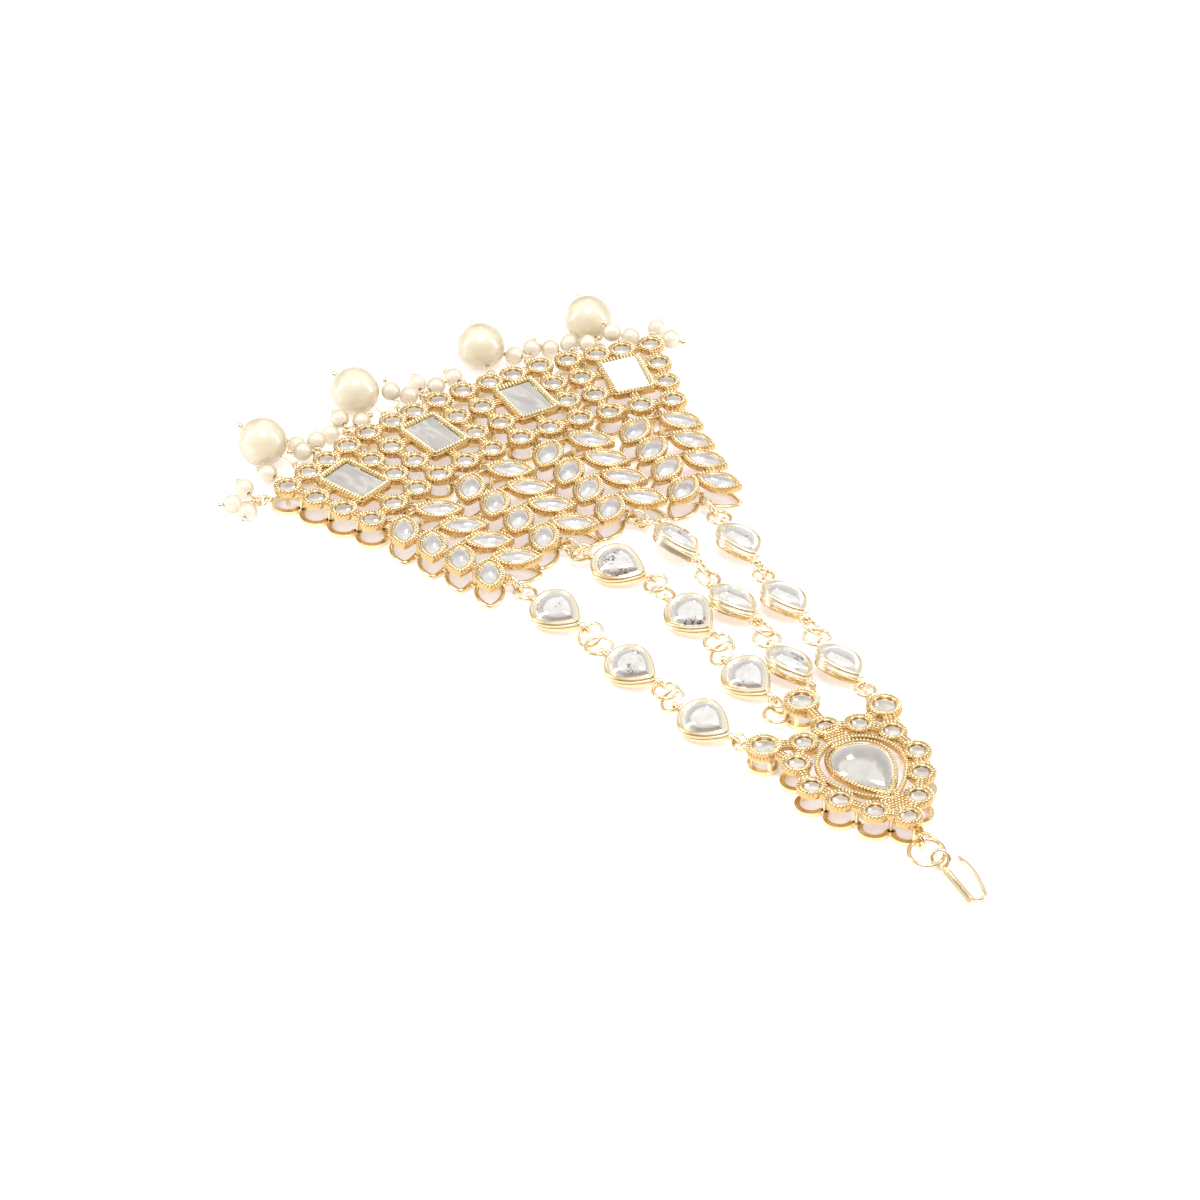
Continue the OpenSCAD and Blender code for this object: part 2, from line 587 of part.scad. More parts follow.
module apex_stone() color(glass) at(APEX)
    translate([pear_centre[0], pear_centre[1], cup_z + frame_floor + gap])
        pear_stone(pear_stone_l, pear_stone_w, APEX_CUT);

module apex_round_stones() color(glass) at(APEX)
    for (q = APEX_SEATS) translate([q[0], q[1], cup_z + floor_h + gap]) round_stone(apex_stone_d);

module ear_stones() color(glass) at(APEX)
    for (q = EARS) translate([q[0], q[1], cup_z + floor_h + gap]) round_stone(ear_stone_d);

hook_ring_c = [5.5, 74.6, 1.45];
hook_ring_r = 2.65;
module hook_ring() color(gold) ring(hook_ring_c, hook_ring_r, hook_wire_r, [-0.82, 0.57, 0], 8);

// The hook is one bent wire: stub, shank, eye, second shank wire, bend and an arm beside the shank
hook_eye_c = [4.7, 76.85, 1.45];
hook_eye_r = 1.3;
hook_turn = -9;
hook_stub_y = 9.7;
hook_bend_y = 8.3;
hook_middle_y = 5;
hook_throat_y = 2.2;
hook_tip_y = 0.4;
hook_arm_rise = 0.7;
hook_bend_r = 1.2;
hook_wire_z = 0.42;
hook_arm_bow = 0.45;
hook_x = hook_wire_r + 0.02;
// Direction in which the eye's opening faces, which is steeply up and towards the shank's right
hook_eye_tilt = 67;
hook_eye_yaw = 131;
function spin_z(v, a) = [v[0] * cos(a) - v[1] * sin(a), v[0] * sin(a) + v[1] * cos(a), v[2]];
function hook_eye(a) =
    let (side = hook_eye_r * sin(a))
    spin_z([hook_eye_r * cos(a), side * cos(hook_eye_tilt), side * sin(hook_eye_tilt)], hook_eye_yaw);
function hook_flat(v) = spin_z(v, hook_turn);
HOOK_PATH = concat(
    [hook_flat([hook_x, hook_stub_y, hook_wire_z]), hook_flat([hook_x, hook_middle_y, hook_wire_z])],
    [hook_flat([hook_x, hook_throat_y, hook_wire_z])],
    [for (a = [-60:30:240]) lift([0, 0], hook_eye_c[2]) + hook_eye(a)],
    [hook_flat([-hook_x, hook_throat_y, hook_wire_z]), hook_flat([-hook_x, hook_middle_y, hook_wire_z])],
    [for (a = [0:30:180])
        hook_flat([-hook_x + hook_bend_r * (cos(a) - 1), hook_bend_y + hook_bend_r * sin(a), hook_wire_z])],
    [for (t = [0.2:0.2:1]) hook_flat([
        -hook_x - 2 * hook_bend_r - hook_arm_bow * sin(180 * t),
        hook_bend_y * (1 - t) + hook_tip_y * t,
        hook_wire_z + hook_arm_rise * sin(120 * t)
    ])]
);

// Round wire swept along points, with the given number of sides
module wire(path, r, sides) {
    n = len(path);
    ways = [for (i = [0:n - 1]) unit(path[min(n - 1, i + 1)] - path[max(0, i - 1)])];
    across = [for (w = ways) unit(cross(w, [0.11, 0.07, 1]))];
    points = [for (i = [0:n - 1]) for (k = [0:sides - 1]) let (a = 360 * k / sides)
        path[i] + r * (cos(a) * across[i] + sin(a) * cross(across[i], ways[i]))];
    walls = [for (i = [0:n - 2]) for (k = [0:sides - 1]) let (j = (k + 1) % sides)
        [i * sides + k, i * sides + j, (i + 1) * sides + j, (i + 1) * sides + k]];
    ends = [[for (k = [sides - 1:-1:0]) k], [for (k = [0:sides - 1]) (n - 1) * sides + k]];
    polyhedron(points, concat(ends, walls));
}

module hook() color(gold) translate([hook_eye_c[0], hook_eye_c[1], 0]) wire(HOOK_PATH, hook_wire_r, 8);

// Drilled pearl on the line from its pin's eye to its own place
module pearl(e, p, r, bore_r) color(cream) translate(p) aim(p - e) rotate([0, 90, 0])
    rotate_extrude() difference() {
        circle(r);
        translate([-2 * r + bore_r, -2 * r]) square([2 * r, 4 * r]);
    }

// Ball-headed pin with an eye at its inner end
module pin(e, p, r, ball_r) color(gold) translate(e) aim(p - e) {
    out = norm(p - e) + r + gap + ball_r;
    torus(eye_r, eye_wire_r);
    translate([eye_r, 0, 0]) rotate([0, 90, 0]) cylinder(r = eye_wire_r, h = out - eye_r);
    translate([out, 0, 0]) sphere(ball_r);
}

module large_pearl(i) pearl(eye_at(LARGE[i][2], 0), large_place(LARGE[i]), large_r, large_bore_r);
module small_pearls() for (p = SMALL) pearl(eye_at(p[3], p[4]), small_place(p), small_r, small_bore_r);
module pearl_pins() {
    for (p = SMALL) pin(eye_at(p[3], p[4]), small_place(p), small_r, small_ball_r);
    for (p = LARGE) pin(eye_at(p[2], 0), large_place(p), large_r, large_ball_r);
}
module pearl_rings() color(gold) for (k = [0:len(ANCHORS) - 1])
    ring(anchor_ring(k), pearl_ring_r, pearl_wire_r, lift(turn([1, 0], anchor_heading(k)), 0), 90);

whole() square_panel(0, 1);  // square_panel_1
whole() square_panel(1, 0);  // square_panel_2
whole() square_panel(2, 0);  // square_panel_3
whole() square_panel(3, -1);  // square_panel_4
whole() centre_stone(0);  // centre_stone_1
whole() centre_stone(1);  // centre_stone_2
whole() centre_stone(2);  // centre_stone_3
whole() centre_stone(3);  // centre_stone_4
whole() round_stones(0);  // round_stones_1
whole() round_stones(1);  // round_stones_2
whole() round_stones(2);  // round_stones_3
whole() round_stones(3);  // round_stones_4
whole() leaf_panel(0);  // leaf_panel_1
whole() leaf_panel(1);  // leaf_panel_2
whole() leaf_panel(2);  // leaf_panel_3
whole() leaf_panel(3);  // leaf_panel_4
whole() leaf_stones(0);  // leaf_stones_1
whole() leaf_stones(1);  // leaf_stones_2
whole() leaf_stones(2);  // leaf_stones_3
whole() leaf_stones(3);  // leaf_stones_4
whole() panel_rings();
whole() link(STRANDS[0][0]);  // link_1_1
whole() link(STRANDS[0][1]);  // link_1_2
whole() link(STRANDS[0][2]);  // link_1_3
whole() link(STRANDS[1][0]);  // link_2_1
whole() link(STRANDS[1][1]);  // link_2_2
whole() link(STRANDS[1][2]);  // link_2_3
whole() link(STRANDS[2][0]);  // link_3_1
whole() link(STRANDS[2][1]);  // link_3_2
whole() link(STRANDS[2][2]);  // link_3_3
whole() link(STRANDS[3][0]);  // link_4_1
whole() link(STRANDS[3][1]);  // link_4_2
whole() link(STRANDS[3][2]);  // link_4_3
whole() link_stones(0);  // link_stones_1
whole() link_stones(1);  // link_stones_2
whole() link_stones(2);  // link_stones_3
whole() link_stones(3);  // link_stones_4
whole() strand_rings(0);  // strand_rings_1
whole() strand_rings(1);  // strand_rings_2
whole() strand_rings(2);  // strand_rings_3
whole() strand_rings(3);  // strand_rings_4
whole() apex_plaque();
whole() apex_stone();
whole() apex_round_stones();
whole() ear_stones();
whole() hook_ring();
whole() hook();
whole() large_pearl(0);  // large_pearl_1
whole() large_pearl(1);  // large_pearl_2
whole() large_pearl(2);  // large_pearl_3
whole() large_pearl(3);  // large_pearl_4
whole() small_pearls();
whole() pearl_pins();
whole() pearl_rings();
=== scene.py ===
import math
import bmesh
import bpy
from mathutils import Matrix, Vector


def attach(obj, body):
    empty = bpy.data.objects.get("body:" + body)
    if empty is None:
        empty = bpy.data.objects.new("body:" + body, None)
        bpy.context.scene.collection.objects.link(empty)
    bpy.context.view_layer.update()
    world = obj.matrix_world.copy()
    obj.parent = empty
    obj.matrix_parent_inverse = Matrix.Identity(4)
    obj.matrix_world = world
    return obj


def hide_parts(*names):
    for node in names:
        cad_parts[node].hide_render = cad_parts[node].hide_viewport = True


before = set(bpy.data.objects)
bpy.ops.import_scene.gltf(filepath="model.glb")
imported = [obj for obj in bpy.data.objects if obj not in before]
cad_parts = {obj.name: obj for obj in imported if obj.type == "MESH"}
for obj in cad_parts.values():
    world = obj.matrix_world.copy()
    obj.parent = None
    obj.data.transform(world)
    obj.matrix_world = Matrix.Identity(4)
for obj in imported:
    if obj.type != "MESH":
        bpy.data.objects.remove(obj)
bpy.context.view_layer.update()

# The camera is the photograph's: a long lens, over the hook end's left shoulder, 37 degrees up.
# The fan is drawn from its own origin, and middle is where that origin's frame has its centre.
mm = 0.001
middle = Vector((2, 6.3, 0))
camera = bpy.data.objects.new("camera", bpy.data.cameras.new("camera"))
bpy.context.collection.objects.link(camera)
bpy.context.scene.camera = camera
camera.data.sensor_width = 36
camera.data.lens = 167.38
camera.data.clip_start = 0.05
camera_height = math.radians(36.8)
camera_side = Vector((0.569, 0.822, 0))
aim = (Vector((11.85, 0, 4.3)) - middle) * mm
to_camera = camera_side * math.cos(camera_height) + Vector((0, 0, math.sin(camera_height)))
camera.location = aim + to_camera * 858.4 * mm
camera.rotation_euler = (-to_camera).to_track_quat("-Z", "Y").to_euler()
bpy.context.scene.view_settings.view_transform = "Standard"


# The studio is a lit white table under a round soft light, with a tall soft light at each side.
# A pale grey tent, brighter overhead and open in front, is what the stones and gold mirror.
# A small bright card stands where the leaning fourth slab mirrors it to the camera.
def linear(code):
    parts = [int(code[i:i + 2], 16) / 255 for i in (1, 3, 5)]
    return [c / 12.92 if c <= 0.04045 else ((c + 0.055) / 1.055) ** 2.4 for c in parts] + [1]


def node(tree, kind, inputs=None, **settings):
    """Adds a node with its settings. An input is a value, or the output that it is linked to."""
    made = tree.nodes.new(kind)
    for name, value in settings.items():
        setattr(made, name, value)
    for name, value in (inputs or {}).items():
        if isinstance(value, bpy.types.NodeSocket):
            tree.links.new(value, made.inputs[name])
        else:
            made.inputs[name].default_value = value
    return made


def ramp(tree, factor, stops):
    """A colour ramp over (position, hex colour) stops."""
    made = node(tree, "ShaderNodeValToRGB", {"Fac": factor})
    while len(made.color_ramp.elements) < len(stops):
        made.color_ramp.elements.new(0.5)
    for element, (position, code) in zip(made.color_ramp.elements, stops):
        element.position = position
        element.color = linear(code)
    return made.outputs["Color"]


def soft_light(name, shape, width, height, power, place):
    light = bpy.data.lights.new(name, "AREA")
    light.shape = shape
    light.size = width
    light.size_y = height
    light.energy = power
    holder = bpy.data.objects.new(name, light)
    bpy.context.collection.objects.link(holder)
    holder.location = place
    holder.rotation_euler = (-Vector(place)).to_track_quat("-Z", "Y").to_euler()


world = bpy.data.worlds.new("studio")
bpy.context.scene.world = world
world.use_nodes = True
sky = world.node_tree
way = node(sky, "ShaderNodeTexCoord").outputs["Generated"]
up = node(sky, "ShaderNodeSeparateXYZ", {"Vector": way})
room = ramp(sky, up.outputs["Z"], [(0, "#F4F3F4"), (0.25, "#E2DFE0"), (0.58, "#CFCBCC"), (0.68, "#FFFFFF")])
ahead = node(sky, "ShaderNodeVectorMath", {0: way, 1: camera_side}, operation="DOT_PRODUCT").outputs["Value"]
open_front = ramp(sky, ahead, [(0.1, "#FFFFFF"), (0.8, "#C4B6AC")])
tent = node(sky, "ShaderNodeMix", {"A": room, "B": open_front}, data_type="RGBA", blend_type="MULTIPLY")
tent.inputs["Factor"].default_value = 1
sky.links.new(tent.outputs["Result"], sky.nodes["Background"].inputs["Color"])
sky.nodes["Background"].inputs["Strength"].default_value = 0.95
right_of_camera = Vector((-camera_side.y, camera_side.x, 0))
soft_light("overhead", "DISK", 0.4, 0.4, 3, camera_side * 0.15 + Vector((0, 0, 0.85)))
soft_light("tall_left", "RECTANGLE", 0.16, 0.8, 2, right_of_camera * -0.75 + Vector((0, 0, 0.35)))
soft_light("tall_right", "RECTANGLE", 0.16, 0.8, 2, right_of_camera * 0.75 + Vector((0, 0, 0.35)))
slab_4 = Vector((-28.5, -54.2, 4.3)) * mm
slab_leans = (0, 1, -0.5, 4.5)
slab_4_lean = math.radians(slab_leans[3])
slab_4_up = Vector((0.797 * math.sin(slab_4_lean), 0.604 * math.sin(slab_4_lean), math.cos(slab_4_lean)))
to_eye = (camera.location - slab_4).normalized()
mirrored = 2 * slab_4_up.dot(to_eye) * slab_4_up - to_eye
soft_light("small_card", "RECTANGLE", 0.034, 0.034, 0.045, slab_4 + 0.5 * mirrored)

table_mesh = bpy.data.meshes.new("table")
table_form = bmesh.new()
bmesh.ops.create_grid(table_form, x_segments=1, y_segments=1, size=3)
table_form.to_mesh(table_mesh)
table_form.free()
table = bpy.data.objects.new("table", table_mesh)
bpy.context.collection.objects.link(table)
acrylic = bpy.data.materials.new("lit_white_acrylic")
acrylic.use_nodes = True
panel_shader = acrylic.node_tree.nodes["Principled BSDF"]
panel_shader.inputs["Base Color"].default_value = linear("#EFEDF0")
panel_shader.inputs["Roughness"].default_value = 0.9
panel_shader.inputs["Emission Color"].default_value = linear("#FAF6FA")
panel_shader.inputs["Emission Strength"].default_value = 0.42
table_mesh.materials.append(acrylic)


# The metal is a cast brass alloy, flash plated with pale gold and tumbled bright.
# Its colour is painted by height above the table. The tops of the beads carry a pale painted highlight.
# The recess just below them is painted shade, a deeper orange, and the walls and the base wire are in
# between.
def gold_plating(name, light, middle, painted_shade, top, polish):
    gold = bpy.data.materials.new(name)
    gold.use_nodes = True
    tree = gold.node_tree
    shader = tree.nodes["Principled BSDF"]
    shader.inputs["Metallic"].default_value = 1
    place = node(tree, "ShaderNodeTexCoord").outputs["Object"]
    height = node(tree, "ShaderNodeSeparateXYZ", {"Vector": place}).outputs["Z"]
    raised = node(tree, "ShaderNodeMapRange", {"Value": height, "From Min": 0, "From Max": top * mm})
    clouds = node(tree, "ShaderNodeTexNoise", {"Vector": place, "Scale": 1 / (5 * mm), "Detail": 3})
    # Painted by height: a pale painted highlight at the top, painted shade of deeper orange just below it.
    colour = ramp(tree, raised.outputs[0],
                  [(0, middle), (0.5, middle), (0.7, painted_shade), (0.9, painted_shade), (0.985, light)])
    tree.links.new(colour, shader.inputs["Base Color"])
    gloss = node(tree, "ShaderNodeMapRange", {"Value": clouds.outputs["Fac"], "To Min": polish,
                                              "To Max": polish + 0.14})
    tree.links.new(gloss.outputs[0], shader.inputs["Roughness"])
    skin = node(tree, "ShaderNodeTexNoise", {"Vector": place, "Scale": 1 / (0.35 * mm), "Detail": 2})
    bump = node(tree, "ShaderNodeBump",
                {"Height": skin.outputs["Fac"], "Strength": 0.2, "Distance": 0.03 * mm})
    tree.links.new(bump.outputs["Normal"], shader.inputs["Normal"])
    return gold


# Both golds carry this painted highlight and painted shade by height, up to 4.5 and 2.5 mm.
CAST_GOLD = gold_plating("cast_gold", "#FFF5D4", "#F6E6BE", "#DDBB80", 4.5, 0.14)
WIRE_GOLD = gold_plating("wire_gold", "#FFF4D8", "#F5E6C2", "#E8CE9C", 2.5, 0.12)


# A square panel is cast in one piece: eleven round cups round a raised frame, on a scalloped wire.
# Each rim is rolled into fine beads. Short posts join the cups to the wire, and lugs take the rings.
SQUARES = [(26.2, -48.1, 16), (8.9, -51.6, 4.7), (-8.9, -51.6, -4.7), (-26.2, -48.1, -16)]
PEARL_ROW = -7.38
SQUARE_HALF = [(2.18, PEARL_ROW), (7.14, PEARL_ROW), (6.63, -1.88), (6.12, 3.48), (5.45, 8.82)]
cup_z = 3.2
rim_z = 4.5
bezel_r = 2.325
wire_half = 0.4
post_r = 0.4
free_base_r = 2.7
lug_z = 2
post_top = cup_z + 0.25
lug_post_top = cup_z + 0.2
web_low = 3.3
web_high = 4.05
web_w = 1.8
seat_clear = 1.8
grain_r = 0.27
grain_z = 4.02
grain_side = 0.3
grain_pitch = 0.55
# Beads of a rim: half length along it, half width across it, half height
RIM_BEAD = (0.19, 0.42, 0.55)
bead_pitch = 0.55
lip_wire_r = 0.2
# Lugs: radius of the hole, radius of the edge, half height
JUMP_LUG = (0.55, 1, 0.3)
PEARL_LUG = (0.42, 0.8, 0.25)


def flipped(half):
    return [(-x, y) for x, y in reversed(half)]


def turned(v, degrees):
    a = math.radians(degrees)
    return Vector((v[0] * math.cos(a) - v[1] * math.sin(a), v[0] * math.sin(a) + v[1] * math.cos(a)))


def at(x, y, z=0, turn=0):
    """The place of something at x, y, z, turned about the vertical."""
    return Matrix.Translation((x, y, z)) @ Matrix.Rotation(math.radians(turn), 4, "Z")


def heading(v):
    return math.degrees(math.atan2(v[1], v[0]))


def circle(radius, sides=32):
    return [tuple(turned((radius, 0), 360 * i / sides)) for i in range(sides)]


def to_mesh(form):
    """Ends a form, as a mesh that can be stamped."""
    bmesh.ops.recalc_face_normals(form, faces=form.faces)
    mesh = bpy.data.meshes.new("shape")
    form.to_mesh(mesh)
    form.free()
    return mesh


def stamp(form, shape, place=Matrix()):
    """Adds a copy of a mesh to a form."""
    copy = shape.copy()
    copy.transform(place)
    if place.determinant() < 0:
        copy.flip_normals()
    form.from_mesh(copy)
    bpy.data.meshes.remove(copy)


def cup(outline, low, top, wall, floor, soft=0.12):
    """A solid on an outline, with a softened rim and a pocket that a wall leaves free."""
    form = bmesh.new()
    base = form.faces.new([form.verts.new((x, y, low)) for x, y in outline])
    risen = bmesh.ops.extrude_face_region(form, geom=[base])["geom"]
    raised = [v for v in risen if isinstance(v, bmesh.types.BMVert)]
    bmesh.ops.translate(form, verts=raised, vec=(0, 0, top - low))
    lid = [f for f in risen if isinstance(f, bmesh.types.BMFace)]
    bmesh.ops.inset_region(form, faces=lid, thickness=wall, use_even_offset=True)
    sunk = bmesh.ops.extrude_face_region(form, geom=lid)["geom"]
    bmesh.ops.delete(form, geom=lid, context="FACES")
    lowered = [v for v in sunk if isinstance(v, bmesh.types.BMVert)]
    bmesh.ops.translate(form, verts=lowered, vec=(0, 0, floor - top))
    edges = [e for e in form.edges if all(v.co.z > top - 1e-4 for v in e.verts) and len(e.link_faces) == 2]
    rim = [e for e in edges if e.calc_face_angle(0) > 1]
    bmesh.ops.bevel(form, geom=rim, affect="EDGES", offset=soft, segments=2, profile=0.5, material=-1)
    return form


def bead(radius):
    form = bmesh.new()
    bmesh.ops.create_icosphere(form, subdivisions=2, radius=radius)
    return to_mesh(form)


def bead_row(form, outline, z, size, pitch):
    """Sets beads of a size (along, across, up) on a closed outline, evenly spaced, like a rope."""
    shape = bead(1)
    ends = [Vector(p) for p in outline + outline[:1]]
    total = sum((b - a).length for a, b in zip(ends, ends[1:]))
    count = round(total / pitch)
    wanted = 0
    walked = 0
    for a, b in zip(ends, ends[1:]):
        length = (b - a).length
        while wanted < count and wanted * total / count < walked + length - 1e-6:
            spot = a.lerp(b, (wanted * total / count - walked) / length)
            stamp(form, shape, at(spot.x, spot.y, z, heading(b - a)) @ Matrix.Diagonal((*size, 1)))
            wanted += 1
        walked += length
    bpy.data.meshes.remove(shape)


def wires(paths, radius, closed=False, sides=3):
    """Round wire along each path, as one mesh."""
    curve = bpy.data.curves.new("wire", "CURVE")
    curve.dimensions = "3D"
    curve.bevel_depth = radius
    curve.bevel_resolution = sides
    curve.use_fill_caps = True
    for path in paths:
        line = curve.splines.new("POLY")
        line.points.add(len(path) - 1)
        for point, spot in zip(line.points, path):
            point.co = (*spot, 1)
        line.use_cyclic_u = closed
    holder = bpy.data.objects.new("wire", curve)
    mesh = bpy.data.meshes.new_from_object(holder)
    bpy.data.objects.remove(holder)
    bpy.data.curves.remove(curve)
    return mesh


def beaded_cup(outline, middle_line, lip_line, low, floor, wall, slope=0.84):
    """A cup whose rim carries a row of beads, with a smooth lip that slopes in over the stone's edge."""
    lip_z = rim_z - 0.36
    form = cup(outline, low, lip_z, wall, floor)
    bead_row(form, middle_line, rim_z - RIM_BEAD[2], RIM_BEAD, bead_pitch)
    stamp(form, wires([[(x, y, rim_z - 0.48) for x, y in lip_line]], lip_wire_r, closed=True))
    foot_z = lip_z - 0.3 * (1 - slope)
    rows = [[form.verts.new((x * share, y * share, z)) for x, y in lip_line]
            for share, z in [(1, rim_z - 0.34), (slope, foot_z), (1, foot_z)]]
    for row, following in zip(rows, rows[1:] + rows[:1]):
        for k in range(len(row)):
            form.faces.new((row[k - 1], row[k], following[k], following[k - 1]))
    return to_mesh(form)


def spun(profile, steps=24):
    """Turns a profile of (radius, height) points round the vertical."""
    form = bmesh.new()
    dots = [form.verts.new((r, 0, z)) for r, z in profile]
    lines = [form.edges.new(pair) for pair in zip(dots, dots[1:])]
    bmesh.ops.spin(form, geom=dots + lines, cent=(0, 0, 0), axis=(0, 0, 1), angle=math.tau, steps=steps,
                   use_merge=True)
    bmesh.ops.remove_doubles(form, verts=form.verts, dist=1e-4)
    return to_mesh(form)


def bar(form, a, b, width, low, high):
    """A straight web with softened edges between two points."""
    a, b = Vector(a[:2]), Vector(b[:2])
    web = bmesh.new()
    bmesh.ops.create_cube(web, size=1)
    bmesh.ops.scale(web, verts=web.verts, vec=((b - a).length, width, high - low))
    bmesh.ops.bevel(web, geom=web.edges, affect="EDGES", offset=0.12, segments=2, profile=0.5, material=-1)
    shape = to_mesh(web)
    spot = (a + b) / 2
    stamp(form, shape, at(spot.x, spot.y, (low + high) / 2, heading(b - a)))
    bpy.data.meshes.remove(shape)


def grained_bar(form, a, b):
    """A web between two cups, with two rows of grains on it. It stops short of the stones."""
    a, b = Vector(a), Vector(b)
    ahead = (b - a).normalized()
    a, b = a + seat_clear * ahead, b - seat_clear * ahead
    bar(form, a, b, web_w, web_low, web_high)
    grain = bead(grain_r)
    count = max(1, round((b - a).length / grain_pitch))
    for k in range(count + 1):
        for side in (-grain_side, grain_side):
            spot = a.lerp(b, k / count) + turned((0, side), heading(ahead))
            stamp(form, grain, at(spot.x, spot.y, grain_z))
    bpy.data.meshes.remove(grain)


def arc(centre, radius, start, stop, steps=14):
    """Points on an arc, from one heading to the next one anticlockwise."""
    stop = stop if stop > start else stop + 360
    return [tuple(Vector(centre) + turned((radius, 0), start + (stop - start) * i / steps))
            for i in range(steps + 1)]


def ribbon(form, outer, inner, low, high):
    """An upright ribbon of metal between two lines of equally many points."""
    strip = bmesh.new()
    rows = [[strip.verts.new((*p, z)) for p in line] for line, z in
            [(outer, low), (outer, high), (inner, high), (inner, low)]]
    for row, following in zip(rows, rows[1:] + rows[:1]):
        for k in range(len(outer) - 1):
            strip.faces.new((row[k], row[k + 1], following[k + 1], following[k]))
    for k in (0, -1):
        strip.faces.new([row[k] for row in rows])
    long_edges = [e for e in strip.edges if e.calc_face_angle(0) > 1]
    bmesh.ops.bevel(strip, geom=long_edges, affect="EDGES", offset=0.2, segments=2, profile=0.5, material=-1)
    stamp(form, to_mesh(strip))


def scallops(form, seats, radius_of):
    """The base wire: an arc outside each seat, from its joint with the last to that with the next."""
    for last, q, following in zip(seats[-1:] + seats[:-1], seats, seats[1:] + seats[:1]):
        start = heading(Vector(last) - Vector(q))
        stop = heading(Vector(following) - Vector(q))
        ribbon(form, arc(q, radius_of(q), start, stop), arc(q, radius_of(q) - 2 * wire_half, start, stop),
               0, 2 * wire_half)


FOOT = spun([(0, 0), (0.62, 0), (0.72, 0.12), (0.72, 0.68), (0.6, 0.8), (0, 0.8)])


def post(form, spot, top, radius=post_r, foot=True):
    stamp(form, wires([[(spot[0], spot[1], wire_half), (spot[0], spot[1], top)]], radius))
    if foot:
        stamp(form, FOOT, at(spot[0], spot[1]))


def ring_section(middle_r, half_w, half_h):
    """Profile of a ring with an oval wire."""
    return [(middle_r + half_w * math.cos(a), half_h * math.sin(a))
            for a in [math.tau * i / 12 for i in range(13)]]


def lug(form, start, end, hole_r, edge_r, half_h, top):
    """A soldered ring on a short arm from a post."""
    start, end = Vector(start), Vector(end)
    ring = spun(ring_section((hole_r + edge_r) / 2, (edge_r - hole_r) / 2, half_h))
    stamp(form, ring, at(end.x, end.y, lug_z))
    near = end - (end - start).normalized() * (hole_r + 0.2)
    stamp(form, wires([[(start.x, start.y, lug_z), (near.x, near.y, lug_z)]], half_h))
    post(form, start, top, foot=False)


def rounded(bm, name, material, place=Matrix(), crease=38):
    """Ends a form as a piece in its place, in metres, smooth but for its sharp edges."""
    bm.transform(Matrix.Scale(mm, 4) @ Matrix.Translation(-middle) @ place)
    mesh = bpy.data.meshes.new(name)
    bm.to_mesh(mesh)
    bm.free()
    mesh.materials.append(material)
    mesh.shade_smooth()
    mesh.set_sharp_from_angle(angle=math.radians(crease))
    made = bpy.data.objects.new(name, mesh)
    bpy.context.collection.objects.link(made)
    return made


TOP_SEAT = (0, 8.65)
SQUARE_SEATS = SQUARE_HALF + [TOP_SEAT] + flipped(SQUARE_HALF)
frame_spot = (-0.3, 0.1)
frame_half = (3.7, 5)
frame_wall = 0.6
frame_top = 5
frame_corner = 0.62
rope_corner = 0.4
rope_pitch = 0.57
ROPE_BEAD = (0.19, 0.5, 0.6)
# Lugs of the pearls: panel, start along the pearl row, direction, length
ANCHORS = [
    (0, 7.14, -35, 3.2), (0, 4.66, -90, 2.4), (0, 0, -90, 2.4), (0, -4.66, -90, 2.4),
    (1, 7.14, -70, 3.1), (1, 0, -90, 2.4), (1, -2.18, -90, 3.1), (1, -7.14, -90, 3.1),
    (2, 4.66, -90, 2.4), (2, 0, -90, 2.4), (2, -7.14, -100, 3.1),
    (3, 4.66, -90, 2.4), (3, 0, -90, 2.4), (3, -4.66, -90, 2.4), (3, -7.14, -125, 3.2),
]
join_x = 2.72
join_y = 9.6
join_post_y = 8.73
ROUND_CUP = beaded_cup(circle(bezel_r - 0.12), circle(bezel_r - 0.42), circle(1.6), cup_z, 3.5, 0.35, 0.84)


def rectangle(half_w, half_l, corner=0.25, steps=4):
    """Outline of a rectangle with rounded corners."""
    outline = []
    for i, (sx, sy) in enumerate([(1, 1), (-1, 1), (-1, -1), (1, -1)]):
        centre = Vector((sx * (half_w - corner), sy * (half_l - corner)))
        outline += [tuple(centre + turned((corner, 0), 90 * i + 90 * k / steps)) for k in range(steps + 1)]
    return outline


def rope_frame():
    """The raised frame, whose top edge is a row of long beads, like a twisted rope."""
    half_w, half_l = frame_half
    outline = rectangle(half_w - 0.1, half_l - 0.1, frame_corner, 3)
    form = cup(outline, cup_z, frame_top - 0.75, frame_wall - 0.1, 3.6)
    rope_line = rectangle(half_w - 0.4, half_l - 0.4, rope_corner)
    bead_row(form, rope_line, frame_top - ROPE_BEAD[2], ROPE_BEAD, rope_pitch)
    return to_mesh(form)


